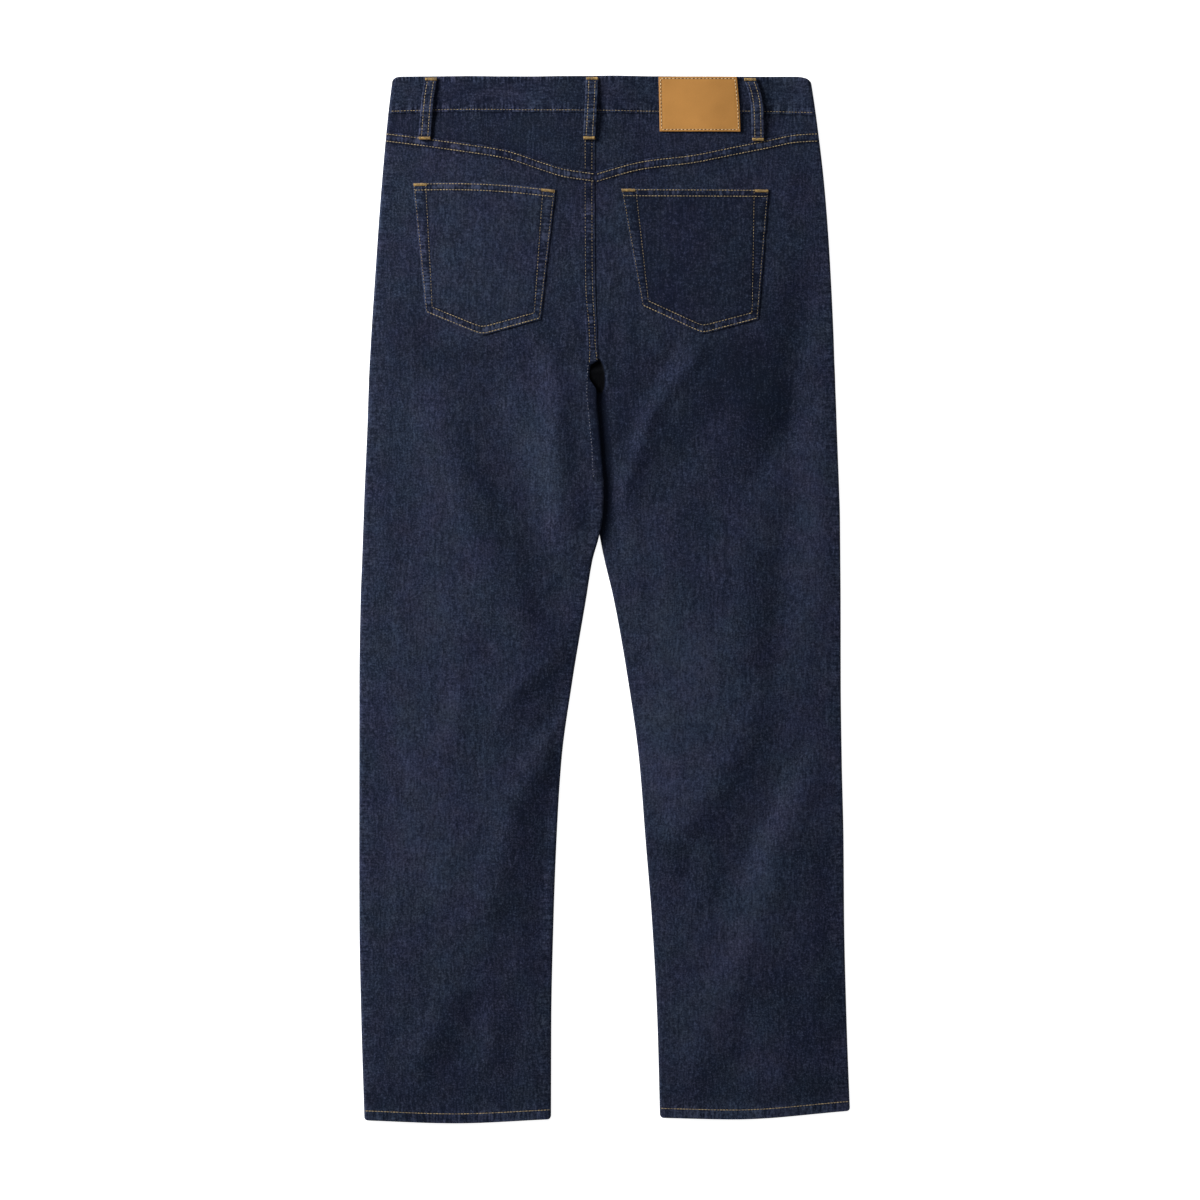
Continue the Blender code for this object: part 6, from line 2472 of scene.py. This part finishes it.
@dataclass
class Patch:
    """The bare leather patch, sewn over the waistband and the top of the right yoke."""

    shop: Workshop
    columns: int = 44
    rows: int = 32
    inset: float = 1.9
    bulge: float = 0.7
    edge_shares: tuple[float, ...] = (0.0, 0.003, 0.008, 0.016, 0.03)
    cut_width: float = 81.0
    cut_length: float = 55.0

    def grid(self) -> tuple[Field, Field, Field]:
        """The vertices' places, and their distances from the nearest edge."""
        top_left, top_right, bottom_right, bottom_left = PATCH
        edge = np.array(self.edge_shares)
        edge_down = edge * 1.4
        inner, inner_down = np.linspace(0.05, 0.95, self.columns), np.linspace(0.07, 0.93, self.rows)
        across = np.concatenate([edge, inner, 1 - edge[::-1]])[None, :]
        depth = np.concatenate([edge_down, inner_down, 1 - edge_down[::-1]])[:, None]
        down = mix(top_left.down, bottom_left.down, depth) + 0 * across
        left = mix(top_left.x, bottom_left.x, depth)
        right = mix(top_right.x, bottom_right.x, depth) + self.bulge * np.sin(math.pi * depth)
        x = mix(left, right, across)
        width, height = right - left, bottom_left.down - top_left.down
        off_side = np.minimum(across, 1 - across) * width
        off_end = np.minimum(depth, 1 - depth) * height + 0 * across
        return x, down, np.minimum(off_side, off_end)

    def build(self) -> None:
        x, down, off = self.grid()
        on_band = SHAPE.highest_near(x, np.minimum(down, 30.0), 5.0, 2.0)
        on_yoke = SHAPE.highest_near(x, 56.0 + 0 * down, 5.0, 2.0)
        under = mix(on_band, on_yoke + 0.4, ease((down - 34) / 22))
        under = np.maximum(under, SHAPE.highest_near(x, down, 4.0, 3.5))
        soft = 0.10 * Ripple(16.0, 13.0, 81)(x, down)
        dent = -0.16 * bump(off - self.inset, 0.9)
        height = under + CLOTH.gap + CLOTH.leather + soft * ease(off / 5) + dent
        piece = Sheet(
            "leather_patch",
            (x, down, height),
            CLOTH.leather,
            Facing.UP,
            self.shop.finishes.leather,
            rim=rim_share(off, 0.7, 0.45),
            wear_and_shade=bump(off, 1.0),
        ).lay()
        cut = Cut(self.cut_width, self.cut_length)
        self.shop.keep(piece, "patch", cut, ["denim_waistband"], "leather", self.sew(piece))

    def sew(self, piece: bpy.types.Object) -> Pieces:
        """One fine row just inside the four edges, and dark pieces sunk along it as painted shade in the
        leather round its stitches.
        """
        tailor = Tailor(Needle.over(piece, Facing.UP))
        top_left, top_right, bottom_right, bottom_left = PATCH
        inset, share = self.inset, np.linspace(0.0, 1.0, 20)
        top, bottom = top_left.down + inset, bottom_left.down - inset
        left = mix(top_left.x, bottom_left.x, share) + inset
        right = mix(top_right.x, bottom_right.x, share) - inset
        right = right + self.bulge * np.sin(math.pi * share)
        down = mix(top, bottom, share)
        rows = [
            Path(((left[0], top), (right[0], top))),
            Path.through(right, down),
            Path(((right[-1], bottom), (left[-1], bottom))),
            Path.through(left[::-1], down[::-1]),
        ]
        # Painted shade: dark pieces sunk into the leather along the stitches
        holes = Tailor(tailor.needle)
        for path in rows:
            tailor.row(path, PATCH_STITCH)
            holes.row(path, NEEDLE_HOLE_SHADE, NEEDLE_HOLE_SHADE.pitch / 2, NEEDLE_HOLE_SHADE.pitch / 2)
        return [
            tailor.rows.piece("leather_patch_stitches", self.shop.finishes.cream),
            holes.rows.piece("leather_patch_hole_shade", self.shop.finishes.shade),
        ]


@dataclass
class Button:
    """The waist button's head: a dished disc with a raised rim, under the buttonhole tab."""

    shop: Workshop
    radius: float = 8.4
    height: float = 2.2
    down: float = 20.0
    aside: float = 4.0
    steps: int = 64
    smooth_angle: float = math.radians(40.0)

    def profile(self) -> list[tuple[float, float]]:
        """The head's outline, as radius and height above the surface."""
        r, h = self.radius, self.height
        return [
            (0.0, h), (r * 0.86, h), (r * 0.97, h - 0.3), (r, h - 0.75), (r, 0.8), (r * 0.97, 0.35),
            (r * 0.90, 0.08), (r * 0.82, 0.0), (r * 0.74, 0.1), (r * 0.69, 0.42), (r * 0.63, 0.55),
            (r * 0.42, 0.42), (r * 0.36, 0.30), (r * 0.30, 0.42), (r * 0.16, 0.34), (0.0, 0.32),
        ]  # fmt: skip

    def build(self) -> None:
        x = float(SHAPE.centre(0)) - self.aside
        (_, top), *outline, (_, bottom) = self.profile()
        points = [
            (x + r * math.cos(turn), self.down + r * math.sin(turn), h)
            for r, h in outline
            for turn in np.linspace(0.0, math.tau, self.steps, endpoint=False)
        ]
        faces = tube_faces(0, len(outline), self.steps)
        last = len(points) - self.steps
        for pole, height, first in ((len(points), top, 0), (len(points) + 1, bottom, last)):
            faces += [(first + k, first + (k + 1) % self.steps, pole) for k in range(self.steps)]
            points.append((x, self.down, height))
        piece = closed_piece("button_head", np.array(points), faces, self.shop.finishes.brass)
        bpy.ops.object.shade_smooth_by_angle(angle=self.smooth_angle)
        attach(piece, BODY)
        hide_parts("waist_button")
        LOG.info("%s: %d faces", piece.name, len(piece.data.polygons))


# ---------------------------------------------------------------- studio


@dataclass
class Studio:
    """The pale surface, the soft lights and the camera straight above."""

    photo_width: float = 1200.0  # in millimetres, at one to a pixel
    aim_x: float = -4.5
    aim_y: float = -1.0
    camera_height: float = 3000.0
    mean_height: float = 6.0
    sensor: float = 36.0
    floor_size: float = 8.0  # in metres
    floor_drop: float = 0.0003
    room_strength: float = 0.16

    def floor(self) -> bpy.types.Object:
        """The surface that the jeans lie on."""
        bpy.ops.object.select_all(action="DESELECT")
        bpy.ops.mesh.primitive_plane_add(size=self.floor_size, location=(0.0, 0.0, -self.floor_drop))
        floor = bpy.context.active_object
        floor.name = "floor"
        floor.data.materials.append(Paper().make())
        return floor

    def camera(self) -> None:
        """A camera straight above, whose frame is the photograph's."""
        data = bpy.data.cameras.new("camera")
        data.sensor_width = self.sensor
        distance = self.camera_height - self.mean_height
        data.lens = self.sensor * distance / self.photo_width
        camera = bpy.data.objects.new("camera", data)
        camera.location = (self.aim_x * MM, self.aim_y * MM, self.camera_height * MM)
        bpy.context.scene.collection.objects.link(camera)
        bpy.context.scene.camera = camera

    def light(self, name: str, place: tuple[float, float, float], size: float, power: float) -> None:
        """A square soft light that looks at the middle of the jeans.

        Args:
            name: The light's name.
            place: Where it hangs, in metres.
            size: Its side, in metres.
            power: Its power, in watts.
        """
        data = bpy.data.lights.new(name, "AREA")
        data.shape = "SQUARE"
        data.size = size
        data.energy = power
        light = bpy.data.objects.new(name, data)
        light.location = place
        light.rotation_euler = (-Vector(place)).to_track_quat("-Z", "Y").to_euler()
        bpy.context.scene.collection.objects.link(light)

    def lights(self) -> None:
        """A broad light from the upper left, a weak one opposite, and a pale room."""
        self.light("key", (-2.5, 1.4, 1.3), 1.3, 158.0)
        self.light("fill", (1.6, -1.8, 3.2), 2.6, 8.0)
        world = bpy.data.worlds.new("room")
        world.use_nodes = True
        background = world.node_tree.nodes["Background"]
        background.inputs["Color"].default_value = (1.0, 1.0, 1.0, 1.0)
        background.inputs["Strength"].default_value = self.room_strength
        bpy.context.scene.world = world
        bpy.context.scene.view_settings.view_transform = "Standard"


def main() -> None:
    """Builds the jeans, piece by piece, and the studio round them."""
    logging.basicConfig(level=logging.INFO, format="%(name)s: %(message)s")
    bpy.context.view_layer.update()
    studio = Studio()
    studio.camera()
    shop = Workshop(Finishes(), studio.floor())
    studio.lights()
    for side in Side:
        FrontLeg(side, shop).build()
        BackLeg(side, shop).build()
        Yoke(side, shop).build()
        BackPocket(side, shop).build()
        PocketFacing(side, shop).build()
        FrontLoop(shop, side=side).build()
    Waistband(shop).build()
    for where in BACK_LOOPS:
        BackLoop(shop, where=where).build()
    Patch(shop).build()
    Button(shop).build()
    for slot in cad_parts["fly_zip"].material_slots:
        slot.material = shop.finishes.tape


if __name__ == "__main__":
    main()
